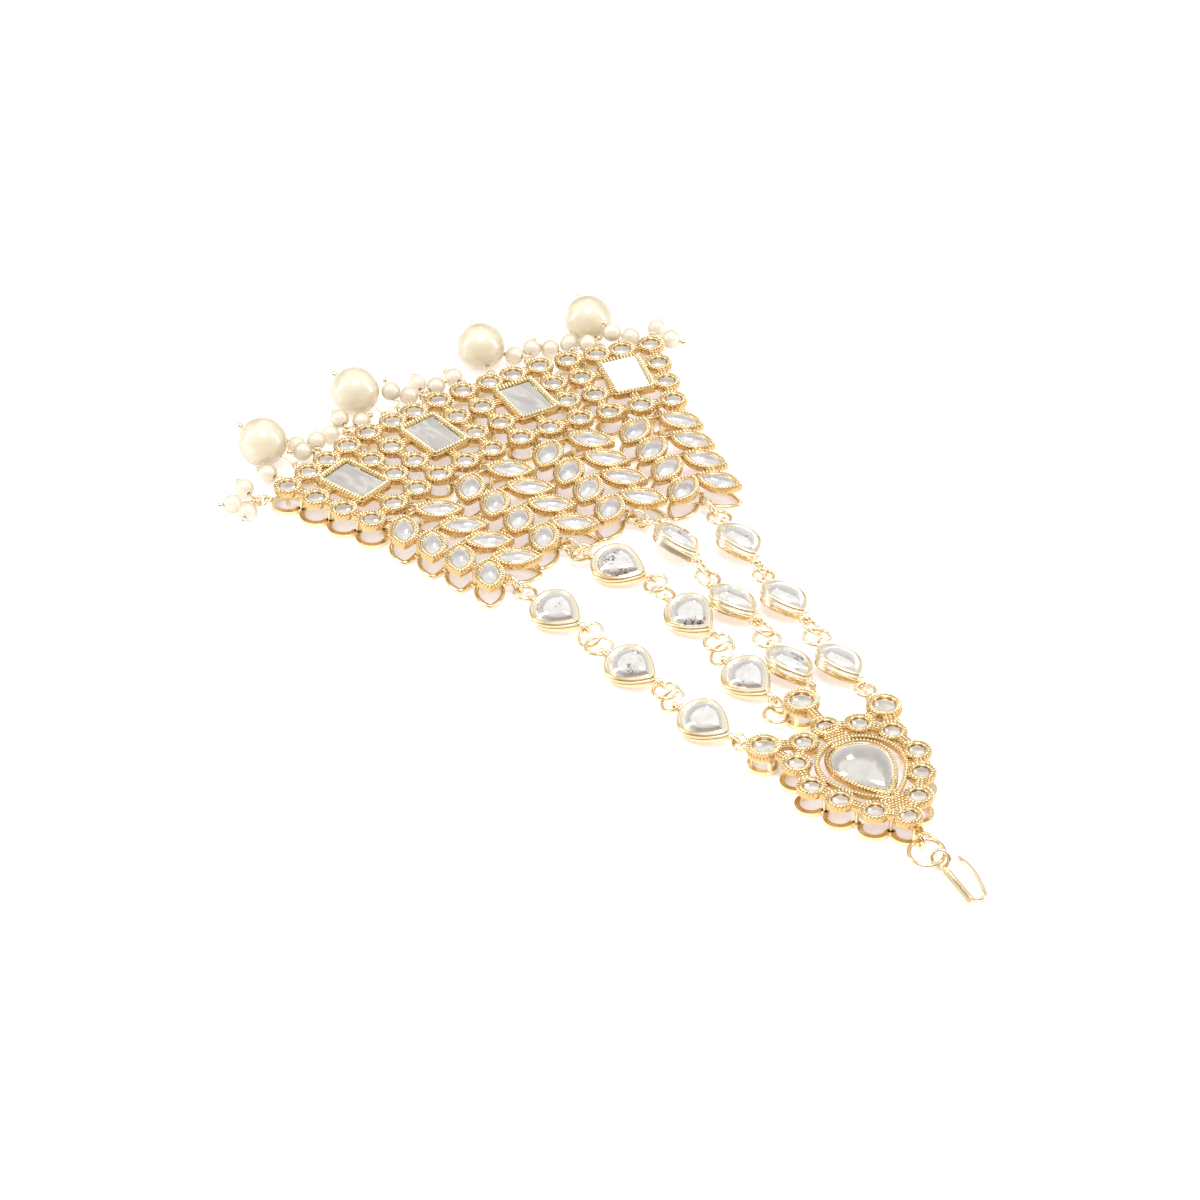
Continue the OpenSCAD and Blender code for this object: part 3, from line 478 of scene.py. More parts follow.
ROPE_FRAME = rope_frame()
for i, panel in enumerate(SQUARES):
    free = (1, 0, 0, -1)[i]
    form = bmesh.new()
    for q in SQUARE_SEATS:
        stamp(form, ROUND_CUP, at(*q))
    stamp(form, ROPE_FRAME, at(*frame_spot))
    around = list(zip(SQUARE_SEATS, SQUARE_SEATS[1:] + SQUARE_SEATS[:1]))
    for a, b in around:
        grained_bar(form, a, b)
        post(form, (Vector(a) + Vector(b)) / 2, post_top)
    for s in (-1, 1):
        x, y = SQUARE_HALF[0]
        grained_bar(form, (s * x, y), (s * x, -3))
        for x, y in SQUARE_HALF[2:4]:
            grained_bar(form, (s * x, y), (s, y))
        lug(form, (s * join_x, join_post_y), (s * join_x, join_y), *JUMP_LUG, lug_post_top)
    grained_bar(form, TOP_SEAT, (0, 3))
    # The base wire bows out further at the fan's free sides and at the middle of the pearl row.
    scallops(form, SQUARE_SEATS,
             lambda q: free_base_r if q[0] * free > 4 or (q[1] < -5 and abs(q[0]) < 5) else bezel_r)
    for owner, x, direction, length in ANCHORS:
        if owner == i:
            start = Vector((x, PEARL_ROW))
            lug(form, start, start + turned((length, 0), direction), *PEARL_LUG, lug_post_top)
    setting = rounded(form, f"square_setting_{i + 1}", CAST_GOLD, at(panel[0], panel[1], 0, panel[2]))
    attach(setting, "root")
    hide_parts(f"square_panel_{i + 1}")


# Round stones are moulded glass with a foil back, ground to a low dome whose facets are polished soft.
# The foil mirrors the room in silver, with a few dark specks where it is worn off.
def foiled_glass(name, bright, dim, specks):
    glass = bpy.data.materials.new(name)
    glass.use_nodes = True
    tree = glass.node_tree
    shader = tree.nodes["Principled BSDF"]
    shader.inputs["Metallic"].default_value = 0.9
    shader.inputs["Roughness"].default_value = 0.07
    shader.inputs["Coat Weight"].default_value = 1
    shader.inputs["Coat Roughness"].default_value = 0.02
    place = node(tree, "ShaderNodeTexCoord").outputs["Object"]
    clouds = node(tree, "ShaderNodeTexNoise", {"Vector": place, "Scale": 1 / (1.8 * mm), "Detail": 3})
    body = ramp(tree, clouds.outputs["Fac"], [(0.38, dim), (0.6, bright)])
    worn = node(tree, "ShaderNodeTexNoise",
                {"Vector": place, "Scale": 1 / (0.5 * mm), "Detail": 5, "Roughness": 0.8})
    patch = node(tree, "ShaderNodeTexNoise", {"Vector": place, "Scale": 1 / (4 * mm)})
    both = node(tree, "ShaderNodeMath", {0: worn.outputs["Fac"], 1: patch.outputs["Fac"]},
                operation="MULTIPLY")
    speck = ramp(tree, both.outputs[0], [(specks, "#FFFFFF"), (specks + 0.03, "#5F5A60")])
    colour = node(tree, "ShaderNodeMix", {"Factor": 1.0, "A": body, "B": speck},
                  data_type="RGBA", blend_type="MULTIPLY")
    tree.links.new(colour.outputs["Result"], shader.inputs["Base Color"])
    bump = node(tree, "ShaderNodeBump",
                {"Height": clouds.outputs["Fac"], "Strength": 0.12, "Distance": 0.2 * mm})
    tree.links.new(bump.outputs["Normal"], shader.inputs["Normal"])
    return glass


ROUND_GLASS = foiled_glass("foiled_round_glass", "#FFF9EE", "#E4DACB", 0.39)
stone_z = 3.6


def cut_stone(outline, girdle, crown, table):
    """A low domed crown as the hull of a girdle, two softened rows of facets and a table."""
    form = bmesh.new()
    rows = [(1, 0), (1, girdle), (0.9, girdle + 0.4 * crown), ((1 + table) / 2, girdle + 0.75 * crown),
            (table, girdle + crown)]
    for share, height in rows:
        for x, y in outline:
            form.verts.new((x * share, y * share, height))
    bmesh.ops.convex_hull(form, input=form.verts)
    return to_mesh(form)


BRILLIANT = cut_stone(circle(1.75, 16), 0.12, 0.28, 0.55)
for i, panel in enumerate(SQUARES):
    form = bmesh.new()
    for k, q in enumerate(SQUARE_SEATS):
        stamp(form, BRILLIANT, at(*q, stone_z, 37 * k))
    stones = rounded(form, f"round_brilliants_{i + 1}", ROUND_GLASS, at(panel[0], panel[1], 0, panel[2]), 30)
    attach(stones, "root")
    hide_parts(f"round_stones_{i + 1}")


# The stone in each frame is a polished slab of grey agate, cut flat with a narrow slope all round.
# It is pale grey with faint streaks, and mirrors the room as glass does: the fourth one, which sits
# a little tilted in its frame, mirrors the small bright card.
def agate_slab():
    agate = bpy.data.materials.new("grey_agate")
    agate.use_nodes = True
    tree = agate.node_tree
    shader = tree.nodes["Principled BSDF"]
    place = node(tree, "ShaderNodeTexCoord").outputs["Object"]
    drawn = node(tree, "ShaderNodeMapping", {"Vector": place, "Scale": (1, 0.35, 1)})
    streaks = node(tree, "ShaderNodeTexNoise",
                   {"Vector": drawn.outputs[0], "Scale": 1 / (2.2 * mm), "Detail": 6, "Distortion": 1})
    colour = ramp(tree, streaks.outputs["Fac"],
                  [(0.3, "#ABA8A2"), (0.5, "#BDBAB4"), (0.6, "#CFCCC6"), (0.7, "#AFACA6")])
    tree.links.new(colour, shader.inputs["Base Color"])
    shader.inputs["Roughness"].default_value = 0.12
    shader.inputs["Coat Weight"].default_value = 1
    shader.inputs["Coat Roughness"].default_value = 0.03
    return agate


AGATE = agate_slab()
slab_size = (6, 8.6, 0.6)
slab_slope = 0.22
slab_z = 4
for i, panel in enumerate(SQUARES):
    form = bmesh.new()
    bmesh.ops.create_cube(form, size=1)
    bmesh.ops.scale(form, verts=form.verts, vec=slab_size)
    bmesh.ops.bevel(form, geom=[e for e in form.edges if all(v.co.z > 0 for v in e.verts)], affect="EDGES",
                    offset=slab_slope, segments=1, profile=0.5, material=-1)
    lean = Matrix.Rotation(math.radians(slab_leans[i]), 4, (-0.8, 0.6, 0))
    bmesh.ops.transform(form, matrix=at(*frame_spot, slab_z) @ lean, verts=form.verts)
    slab = rounded(form, f"agate_slab_{i + 1}", AGATE, at(panel[0], panel[1], 0, panel[2]), 10)
    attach(slab, "root")
    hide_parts(f"centre_stone_{i + 1}")


# A leaf panel is cast like the square ones: four pairs of leaf cups lean out from the middle line.
# Their beaded rims touch at the inner tips, and the base wire follows the outer half of each leaf.
LEAVES = [(20.8, -25, 12.4), (7, -28, 3.9), (-7, -28, -3.9), (-20.8, -25, -12.4)]
LEAF_HALF = [(3.97, -8.74), (3.51, -2.97), (3.26, 2.75), (3.05, 8.94)]
LEAF_LUG_Y = [10.4, 10.4, 10.4, 11.2]
leaf_l = 8.4
leaf_w = 4.9
leaf_post_y = 9.1
join_span = 2.3


def lens(length, width, steps=12):
    """Outline of a leaf: two arcs that meet at tips on the Y axis."""
    r = (length ** 2 + width ** 2) / (4 * width)
    half = math.asin(length / 2 / r)
    side = [(r * math.cos(a) - r + width / 2, r * math.sin(a))
            for a in [half * (2 * i / steps - 1) for i in range(steps)]]
    return side + [(-x, -y) for x, y in side]


def leaf_place(q, s):
    return at(s * q[0], q[1], 0, -45 * s)


def leaf_tip(q, inset):
    tip = Vector(q) - turned((0, leaf_l / 2 - inset), -45)
    return (tip.x, tip.y)


def outside_leaves(x, y):
    """Whether a point lies outside the line through the leaves' centres."""
    pairs = list(zip(LEAF_HALF, LEAF_HALF[1:]))
    inside = [a[0] + (b[0] - a[0]) * (y - a[1]) / (b[1] - a[1]) for a, b in pairs if a[1] <= y <= b[1]]
    return not inside or abs(x) > inside[0]


def outer_wire(q, s):
    """The outer stretch of a leaf's outline, where the base wire runs."""
    spots = [leaf_place(q, s) @ Vector((x, y, wire_half)) for x, y in lens(leaf_l - 0.9, leaf_w - 0.8, 20)]
    out = [outside_leaves(p.x, p.y) for p in spots]
    start = next(k for k in range(len(spots)) if out[k] and not out[k - 1])
    run = []
    while out[(start + len(run)) % len(spots)] and len(run) < len(spots):
        run.append(tuple(spots[(start + len(run)) % len(spots)]))
    return run


def square_join(i, s):
    panel = SQUARES[i]
    return Vector(panel[:2]) + turned((s * join_x, join_y), panel[2])


def leaf_join(i, s):
    return square_join(i, s) + turned((0, join_span), (SQUARES[i][2] + LEAVES[i][2]) / 2)


LEAF_CUP = beaded_cup(lens(leaf_l - 0.4, leaf_w - 0.24), lens(leaf_l - 1.1, leaf_w - 0.72, 24),
                      lens(leaf_l - 2.2, leaf_w - 1.5), cup_z, 3.5, 0.5, 0.88)
for i, panel in enumerate(LEAVES):
    form = bmesh.new()
    for s in (-1, 1):
        for q in LEAF_HALF:
            stamp(form, LEAF_CUP, leaf_place(q, s))
        for a, b in zip(LEAF_HALF, LEAF_HALF[1:]):
            grained_bar(form, (s * a[0], a[1]), (s * b[0], b[1]))
            post(form, (s * (a[0] + b[0]) / 2, (a[1] + b[1]) / 2), post_top)
        hole = turned(leaf_join(i, s) - Vector(panel[:2]), -panel[2])
        lug(form, hole + turned((0, 1.3), s * 40), hole, *JUMP_LUG, lug_post_top)
    for q in LEAF_HALF:
        inner = leaf_tip(q, 0.7)
        bar(form, inner, (-inner[0], inner[1]), 0.9, web_low, 4.1)
    stamp(form, wires([outer_wire(q, s) for q in LEAF_HALF for s in (-1, 1)], wire_half))
    tip = leaf_tip(LEAF_HALF[0], 0.6)
    stamp(form, wires([[(tip[0], tip[1], wire_half), (-tip[0], tip[1], wire_half)],
                       [(-1.4, leaf_post_y, wire_half), (1.4, leaf_post_y, wire_half)]], wire_half))
    post(form, (0, tip[1]), post_top, foot=False)
    post(form, (0, leaf_post_y), lug_z, foot=False)
    lug(form, (0, leaf_post_y), (0, LEAF_LUG_Y[i]), *JUMP_LUG, lug_z + 0.4)
    setting = rounded(form, f"leaf_setting_{i + 1}", CAST_GOLD, at(panel[0], panel[1], 0, panel[2]))
    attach(setting, "root")
    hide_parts(f"leaf_panel_{i + 1}")

# The leaf stones are navette cuts of the same foiled glass as the round ones. They are silvery white,
# with a few dark specks where the foil is worn off, and the lips of their cups hold them.
LEAF_GLASS = foiled_glass("foiled_leaf_glass", "#FFFCF8", "#E6E1DE", 0.37)
NAVETTE = cut_stone(lens(6.5, 3.4, 8), 0.3, 0.42, 0.45)
for i, panel in enumerate(LEAVES):
    form = bmesh.new()
    for s in (-1, 1):
        for q in LEAF_HALF:
            stamp(form, NAVETTE, leaf_place(q, s) @ at(0, 0, stone_z))
    stones = rounded(form, f"navettes_{i + 1}", LEAF_GLASS, at(panel[0], panel[1], 0, panel[2]), 30)
    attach(stones, "root")
    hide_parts(f"leaf_stones_{i + 1}")


# The jump rings are bent from round drawn wire, and join lug to lug and link to link.
# They are brighter and smoother than the castings.
def ring_path(centre, radius, along, tilt, steps=40):
    """Points of a ring whose plane holds the direction along and is tilted about it."""
    along = Vector(along).normalized()
    level = Vector((-along.y, along.x, 0)).normalized()
    rise = along.cross(level)
    side = level * math.cos(math.radians(tilt)) + rise * math.sin(math.radians(tilt))
    return [tuple(Vector(centre) + radius * (math.cos(a) * along + math.sin(a) * side))
            for a in [math.tau * k / steps for k in range(steps)]]


paths = []
for i in range(4):
    for s in (-1, 1):
        a, b = square_join(i, s), leaf_join(i, s)
        paths.append(ring_path((*((a + b) / 2), lug_z), (b - a).length / 2, (*(b - a), 0), 90))
form = bmesh.new()
stamp(form, wires(paths, 0.26, closed=True))
joins = rounded(form, "panel_jump_rings", WIRE_GOLD)
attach(joins, "root")
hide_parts("panel_rings")

# Twelve pear links hang in four strands. Each is a plain cup with a smooth rolled rim,
# a narrower step below it, and a loop of wire soldered on at both ends.
STRANDS = [
    [(17.1, -3.35, 12.9, 18), (15.7, 14.7, 13.9, 18), (14.4, 32, 13.3, 18)],
    [(2.5, -7.8, 25, 18), (0.8, 9.2, 4, 18), (2.85, 27.1, 3, 18)],
    [(-7.6, -7.3, -4, -28), (-6.05, 10.2, 3, -19), (-3.75, 28, -3, -19)],
    [(-16, -2.1, -9, -19), (-13, 14.1, -3, -19), (-10.3, 32, -4, -19)],
]
link_l = 9.4
link_w = 7.5
link_h = 2.2
link_step = 0.5
loop_r = 0.85
loop_z = 1.1
wire_r = 0.3
loop_y = link_l / 2 + loop_r + wire_r - 0.2


def pear(length, width, steps=10):
    """Outline of a pear, round at -Y and pointed at +Y, made of arcs."""
    r = width / 2
    low = r - length / 2
    tip = length / 2 - low
    big = 1.44 * width
    k = big - r
    sb = (big ** 2 - k ** 2 - tip ** 2) / (2 * tip * k)
    b = math.asin(sb)
    cx, dy = -k * math.cos(b), -k * sb
    e = math.atan2(tip - dy, -cx)
    quarter = [-math.pi / 2 + (b + math.pi / 2) * i / steps for i in range(steps + 1)]
    flank = [b + (e - b) * i / steps for i in range(1, steps + 1)]
    right = [(r * math.cos(a), low + r * math.sin(a)) for a in quarter]
    right += [(max(0, cx + big * math.cos(a)), low + dy + big * math.sin(a)) for a in flank]
    return right + [(-x, y) for x, y in reversed(right[1:-1])]


def link_place(k):
    rest = (link_w - link_step) / 2 * abs(math.sin(math.radians(k[3]))) + 0.05
    return at(k[0], k[1], rest, k[2]) @ Matrix.Rotation(math.radians(k[3]), 4, "Y")


def link_loop(k, s):
    return link_place(k) @ Vector((0, s * loop_y, loop_z))


def pear_link():
    form = cup(pear(link_l - link_step, link_w - link_step), 0, 1, 0.6, 0.6)
    stamp(form, to_mesh(cup(pear(link_l - 0.4, link_w - 0.4), 0.9, link_h - 0.3, 0.5, 1.1, 0.15)))
    for size, height, radius in [(1.04, link_h - 0.52, 0.52), (0.5, 1.1, 0.25), (1.8, link_h - 0.3, 0.28)]:
        rim = [(x, y, height) for x, y in pear(link_l - size, link_w - size, 14)]
        stamp(form, wires([rim], radius, closed=True))
    ends = [ring_path((0, s * loop_y, loop_z), loop_r, (0, 1, 0), 90, 28) for s in (-1, 1)]
    stamp(form, wires(ends, wire_r, closed=True))
    return to_mesh(form)


PEAR_LINK = pear_link()
for strand, links in enumerate(STRANDS):
    for n, k in enumerate(links):
        form = bmesh.new()
        stamp(form, PEAR_LINK, link_place(k))
        link = rounded(form, f"pear_link_{strand + 1}_{n + 1}", WIRE_GOLD)
        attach(link, "root")
        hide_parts(f"link_{strand + 1}_{n + 1}")

# The pear stones stand proud of their cups, domed, with large facets that mirror the room whole.
PEAR_GLASS = foiled_glass("foiled_pear_glass", "#FFFDF8", "#F3EFE8", 0.35)
PEAR_CUT = cut_stone(pear(7.4, 6.1, 6), 0.7, 1.1, 0.45)
for strand, links in enumerate(STRANDS):
    form = bmesh.new()
    for k in links:
        stamp(form, PEAR_CUT, link_place(k) @ at(0, 0, link_h / 2 + 0.1))
    stones = rounded(form, f"pear_stones_{strand + 1}", PEAR_GLASS, crease=30)
    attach(stones, "root")
    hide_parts(f"link_stones_{strand + 1}")

# The apex plaque is cast in one piece: a large pear bezel in a ring of twelve round cups,
# on a scalloped wire, with three deeper ear cups for the strands and a wire loop at the tip.
APEX = (2.9, 54.6, -6.35)
APEX_PLACE = at(APEX[0], APEX[1], 0, APEX[2])
APEX_HALF = [(4.8, -8.18), (8.24, -4.31), (9.05, 1.45), (6.96, 6.22), (3.71, 10.81)]
APEX_SEATS = [(0, -9.92)] + APEX_HALF + [(0, 14.13)] + flipped(APEX_HALF)
EARS = [(10.39, -10.26), (0, -17.14), (-10.39, -10.26)]
EAR_LUGS = [(0, -78), (1, 200), (2, -98)]
ear_z = 2.6
ear_lug_l = 3.5
ear_post = (2.35, -34)
pear_spot = (-0.2, 1.7)
hook_wire_r = 0.35
scallop_r = 2.5
ear_post_out = 2.1
grain_across = 0.56
broad_web_w = 3.4
BROAD_WEBS = [(-9.5, -4), (7, 13.5)]
tip_loop_spot = (0, 17.5, 1.8)
tip_loop_r = 1.1
tip_post_y = 16.2


def hoop(outer, inner, low, high):
    """A flat ring between two outlines of equally many points, with softened edges."""
    form = bmesh.new()
    rows = [[form.verts.new((x, y, z)) for x, y in line] for line, z in
            [(outer, low), (outer, high), (inner, high), (inner, low)]]
    for row, following in zip(rows, rows[1:] + rows[:1]):
        for k in range(len(outer)):
            j = (k + 1) % len(outer)
            form.faces.new((row[k], row[j], following[j], following[k]))
    edges = [e for e in form.edges if e.calc_face_angle(0) > 1]
    bmesh.ops.bevel(form, geom=edges, affect="EDGES", offset=0.15, segments=2, profile=0.5, material=-1)
    return to_mesh(form)


def ear_cup():
    """A deeper cup with one row of beads on its rim and one round its waist."""
    form = cup(circle(2.62), ear_z, rim_z - 0.3, 0.5, 3.5)
    bead_row(form, circle(2.38), rim_z - 0.4, (0.19, 0.4, 0.4), 0.52)
    bead_row(form, circle(2.56), 3.35, (0.19, 0.24, 0.45), 0.52)
    stamp(form, wires([[(x, y, 4) for x, y in circle(2)]], 0.26, closed=True))
    return to_mesh(form)


APEX_CUP = beaded_cup(circle(2.23), circle(1.95), circle(1.55), cup_z, 3.5, 0.5)
EAR_CUP = ear_cup()
form = bmesh.new()
for q in APEX_SEATS:
    stamp(form, APEX_CUP, at(*q))
for q in EARS:
    stamp(form, EAR_CUP, at(*q))
for a, b in zip(APEX_SEATS, APEX_SEATS[1:] + APEX_SEATS[:1]):
    grained_bar(form, a, b)
    post(form, (Vector(a) + Vector(b)) / 2, post_top)
for ear, seat in [(1, 0), (0, 1), (0, 2), (2, -1), (2, -2)]:
    grained_bar(form, EARS[ear], APEX_SEATS[seat])
scallops(form, APEX_SEATS, lambda q: scallop_r)
bezel = beaded_cup(pear(14.3, 10.15, 14), pear(13.8, 9.65, 20), pear(12.6, 9.2, 14), cup_z, 3.6, 0.45, 0.93)
stamp(form, bezel, at(*pear_spot))
stamp(form, hoop(pear(16.8, 14, 14), pear(15.2, 12.6, 14), web_low, 4.1), at(*pear_spot))
bead_row(form, [tuple(Vector(p) + Vector(pear_spot)) for p in pear(16, 13.3, 20)], 4, (0.2, 0.4, 0.3), 0.52)
grain = bead(0.3)
for start, stop in BROAD_WEBS:
    bar(form, (0, start), (0, stop), broad_web_w, web_low, 4)
    for k in range(int((stop - start) / grain_pitch) + 1):
        for j in range(6):
            x = grain_across * ((j - 2.5) + 0.25 * (-1) ** k)
            stamp(form, grain, at(x, start + grain_pitch * k, 3.95))
for q in EARS:
    ribbon(form, arc(q, scallop_r, 0, 360, 32), arc(q, scallop_r - 2 * wire_half, 0, 360, 32),
           0, 2 * wire_half)
    inward = (-Vector(q)).normalized()
    for a in (-50, 50):
        post(form, Vector(q) + turned(inward, a) * ear_post_out, ear_z + 0.2, foot=False)
post(form, Vector(EARS[1]) + turned((ear_post[0], 0), ear_post[1] - APEX[2]), ear_z + 0.2, 0.35, foot=False)
for ear, direction in EAR_LUGS:
    q, a = Vector(EARS[ear]), direction - APEX[2]
    lug(form, q + turned((ear_post_out, 0), a), q + turned((ear_lug_l, 0), a), *JUMP_LUG, ear_z + 0.2)
stamp(form, wires([ring_path(tip_loop_spot, tip_loop_r, (0, 1, 0), 90)], hook_wire_r, closed=True))
post(form, (0, tip_post_y), cup_z + 0.2, 0.45, foot=False)
stamp(form, wires([[(-0.8, 14.9, 1.6), (-1.9, 16.8, 1.52), (-2.1, 17.2, 1.5)]], 0.35))
stamp(form, bead(0.35), at(-2.1, 17.2, 1.5))
post(form, (-0.8, 14.9), cup_z + 0.15, foot=False)
plaque = rounded(form, "apex_setting", CAST_GOLD, APEX_PLACE)
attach(plaque, "root")
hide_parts("apex_plaque")

# The plaque holds a large pear cut, twelve round brilliants and three more in its ears.
# They are the same foiled glass as the panels' stones, and the large one's foil is a little darker.
form = bmesh.new()
stamp(form, cut_stone(pear(12, 9, 7), 0.6, 0.95, 0.5), at(*pear_spot, 3.7))
SMOKY_GLASS = foiled_glass("foiled_smoky_glass", "#EEEAE2", "#E4DFD6", 0.42)
large_pear = rounded(form, "large_pear_stone", SMOKY_GLASS, APEX_PLACE, 30)
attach(large_pear, "root")
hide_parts("apex_stone")
for name, node_name, seats, radius in [("plaque_brilliants", "apex_round_stones", APEX_SEATS, 1.6),
                                       ("ear_brilliants", "ear_stones", EARS, 2)]:
    form = bmesh.new()
    for k, q in enumerate(seats):
        stamp(form, cut_stone(circle(radius, 16), 0.12, 0.28, 0.55), at(*q, stone_z, 41 * k))
    stones = rounded(form, name, ROUND_GLASS, APEX_PLACE, 30)
    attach(stones, "root")
    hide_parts(node_name)

# Each strand hangs on pairs of interlinked jump rings. The ends at the ears take one ring,
# and the second strand hangs by a larger ring that lies flat under the middle ear.
# Each joint's two tilts in degrees, and the rings' least overlap, from the leaf on
JOINTS = [
    [(108, 176, 0.7), (36, 4, 1.2), (4, 36, 1.2)],
    [(88, 24, 1.2), (20, 164, 0.9), (4, 36, 1.2)],
    [(92, 148, 1.2), (132, 168, 1.2), (148, 0, 1.2)],
    [(112, 176, 0.7), (140, 176, 1.2), (144, 0, 1.2)],
]
end_wire_r = 0.27
flat_ring_r = 2
flat_ring_out = 3.65
flat_ring_z = 1.25
catch_heading = 230


def on_apex(q, direction, length, z):
    """A point on the table's plan at a distance from a seat of the plaque."""
    spot = APEX_PLACE @ Vector((*q, 0))
    return Vector((*(spot.to_2d() + turned((length, 0), direction)), z))


def ring_pair(a, b, joint):
    radius = max(1.5, ((b - a).length + joint[2]) / 4)
    along = (b - a).normalized()
    return [ring_path(a + along * radius, radius, along, joint[0]),
            ring_path(b - along * radius, radius, along, joint[1])]


def one_ring(a, b, tilt):
    return ring_path((a + b) / 2, (b - a).length / 2 + 0.1, b - a, tilt)


for i, links in enumerate(STRANDS):
    leaf_hole = at(LEAVES[i][0], LEAVES[i][1], 0, LEAVES[i][2]) @ Vector((0, LEAF_LUG_Y[i], lug_z))
    paths = ring_pair(leaf_hole, link_loop(links[0], -1), JOINTS[i][0])
    for k in (0, 1):
        paths += ring_pair(link_loop(links[k], 1), link_loop(links[k + 1], -1), JOINTS[i][k + 1])
    last = link_loop(links[2], 1)
    ends = []
    if i in (0, 2):
        ear, direction = EAR_LUGS[i // 2]
        ends = [one_ring(last, on_apex(EARS[ear], direction, ear_lug_l, lug_z), (60, 120)[i // 2])]
    if i == 3:
        paths += ring_pair(last, on_apex(EARS[2], EAR_LUGS[2][1], ear_lug_l, lug_z), (176, 92, 1.2))
    if i == 1:
        flat_ring = on_apex(EARS[1], ear_post[1], flat_ring_out, flat_ring_z)
        caught = flat_ring + Vector((*turned((flat_ring_r, 0), catch_heading), 0))
        paths.append(ring_path(flat_ring, flat_ring_r, (1, 0, 0), 0))
        ends = [one_ring(last, caught + (caught - last).normalized() * 1.05, 162)]
    form = bmesh.new()
    stamp(form, wires(paths, wire_r, closed=True))
    if ends:
        stamp(form, wires(ends, end_wire_r, closed=True))
    rings = rounded(form, f"strand_jump_rings_{i + 1}", WIRE_GOLD)
    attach(rings, "root")
    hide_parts(f"strand_rings_{i + 1}")

# The hook hangs from a larger ring. It is one drawn wire, doubled back into a shank with an eye
# at one end, and bent round at the other into an arm that bows away and returns beside the shank.
hook_ring_spot = (5.5, 74.6, 1.45)
hook_ring_r = 2.65
hook_ring_way = (-0.82, 0.57, 0)
hook_ring_tilt = 8
form = bmesh.new()
hook_ring_path = ring_path(hook_ring_spot, hook_ring_r, hook_ring_way, hook_ring_tilt, 64)
stamp(form, wires([hook_ring_path], hook_wire_r, closed=True))
large_ring = rounded(form, "hook_jump_ring", WIRE_GOLD)
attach(large_ring, "root")
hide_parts("hook_ring")

hook_eye = Vector((4.7, 76.85, 1.45))
hook_eye_r = 1.3
hook_eye_turn = (67, 131)
hook_turn = -9
hook_wire_z = 0.42
hook_x = hook_wire_r + 0.02
hook_bend_r = 1.2
hook_bend_y = 8.3


def hook_flat(x, y, z=hook_wire_z):
    return Vector((*turned((x, y), hook_turn), z)) + Vector((hook_eye.x, hook_eye.y, 0))


eye_lean, eye_yaw = hook_eye_turn
eye_spin = Matrix.Rotation(math.radians(eye_yaw), 4, "Z") @ Matrix.Rotation(math.radians(eye_lean), 4, "X")
hook_path = [hook_flat(hook_x, 9.7), hook_flat(hook_x, 5), hook_flat(hook_x, 2.2)]
hook_path += [hook_eye + eye_spin @ Vector((*turned((hook_eye_r, 0), a), 0)) for a in range(-60, 241, 15)]
hook_path += [hook_flat(-hook_x, 2.2), hook_flat(-hook_x, 5), hook_flat(-hook_x, 7)]
hook_path += [hook_flat(-hook_x + hook_bend_r * (math.cos(a) - 1), hook_bend_y + hook_bend_r * math.sin(a))
              for a in [math.pi * k / 12 for k in range(13)]]
for k in range(1, 11):
    share = k / 10
    x = -hook_x - 2 * hook_bend_r - 0.45 * math.sin(math.pi * share)
    y = hook_bend_y * (1 - share) + 0.4 * share
    hook_path.append(hook_flat(x, y, hook_wire_z + 0.7 * math.sin(math.radians(120 * share))))
form = bmesh.new()
stamp(form, wires([hook_path], hook_wire_r))
hook = rounded(form, "bent_wire_hook", WIRE_GOLD)
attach(hook, "root")
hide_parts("hook")


# Four large and twenty-four small imitation pearls: glass cores dipped in a nacre lacquer.
# The lacquer gives a deep soft gloss over cream. Its colour is painted a darker tan towards the edge, as
# painted shade where the view grazes it.
# Each pearl is drilled through, and hangs on a pin of its own.
def nacre(name, body, rim_shade):
    pearl = bpy.data.materials.new(name)
    pearl.use_nodes = True
    tree = pearl.node_tree
    shader = tree.nodes["Principled BSDF"]
    place = node(tree, "ShaderNodeTexCoord").outputs["Object"]
    clouds = node(tree, "ShaderNodeTexNoise", {"Vector": place, "Scale": 1 / (2.5 * mm), "Detail": 2})
    # Painted shade: the colour turns darker tan where the view grazes the pearl, towards its rim.
    rim = node(tree, "ShaderNodeLayerWeight", {"Blend": 0.5}).outputs["Facing"]
    share = node(tree, "ShaderNodeMath", {0: rim, 1: clouds.outputs["Fac"]}, operation="MULTIPLY")
    colour = ramp(tree, share.outputs[0], [(0, body), (0.1, body), (0.42, rim_shade)])
    tree.links.new(colour, shader.inputs["Base Color"])
    shader.inputs["Roughness"].default_value = 0.25
    shader.inputs["Coat Weight"].default_value = 1
    shader.inputs["Coat IOR"].default_value = 1.8
    shader.inputs["Coat Roughness"].default_value = 0.16
    shader.inputs["Sheen Weight"].default_value = 0.15
    shader.inputs["Sheen Tint"].default_value = linear("#FFF6E0")
    return pearl


LARGE_NACRE = nacre("large_pearl_nacre", "#F4EBD1", "#C0AB7B")
SMALL_NACRE = nacre("small_pearl_nacre", "#F7EFDA", "#C9B584")
pearl_ring_r = 1
pearl_wire_r = 0.18
eye_r = 0.65
eye_wire_r = 0.17
large_r = 4
large_bore = 0.32
large_ball_r = 0.58
small_r = 1.55
small_bore = 0.3
small_ball_r = 0.5
pin_gap = 0.1
# Large pearls: x, y, lug
LARGE = [(32, -65.8, 2), (12.1, -69.4, 5), (-11.7, -68.4, 9), (-30.8, -65.1, 12)]
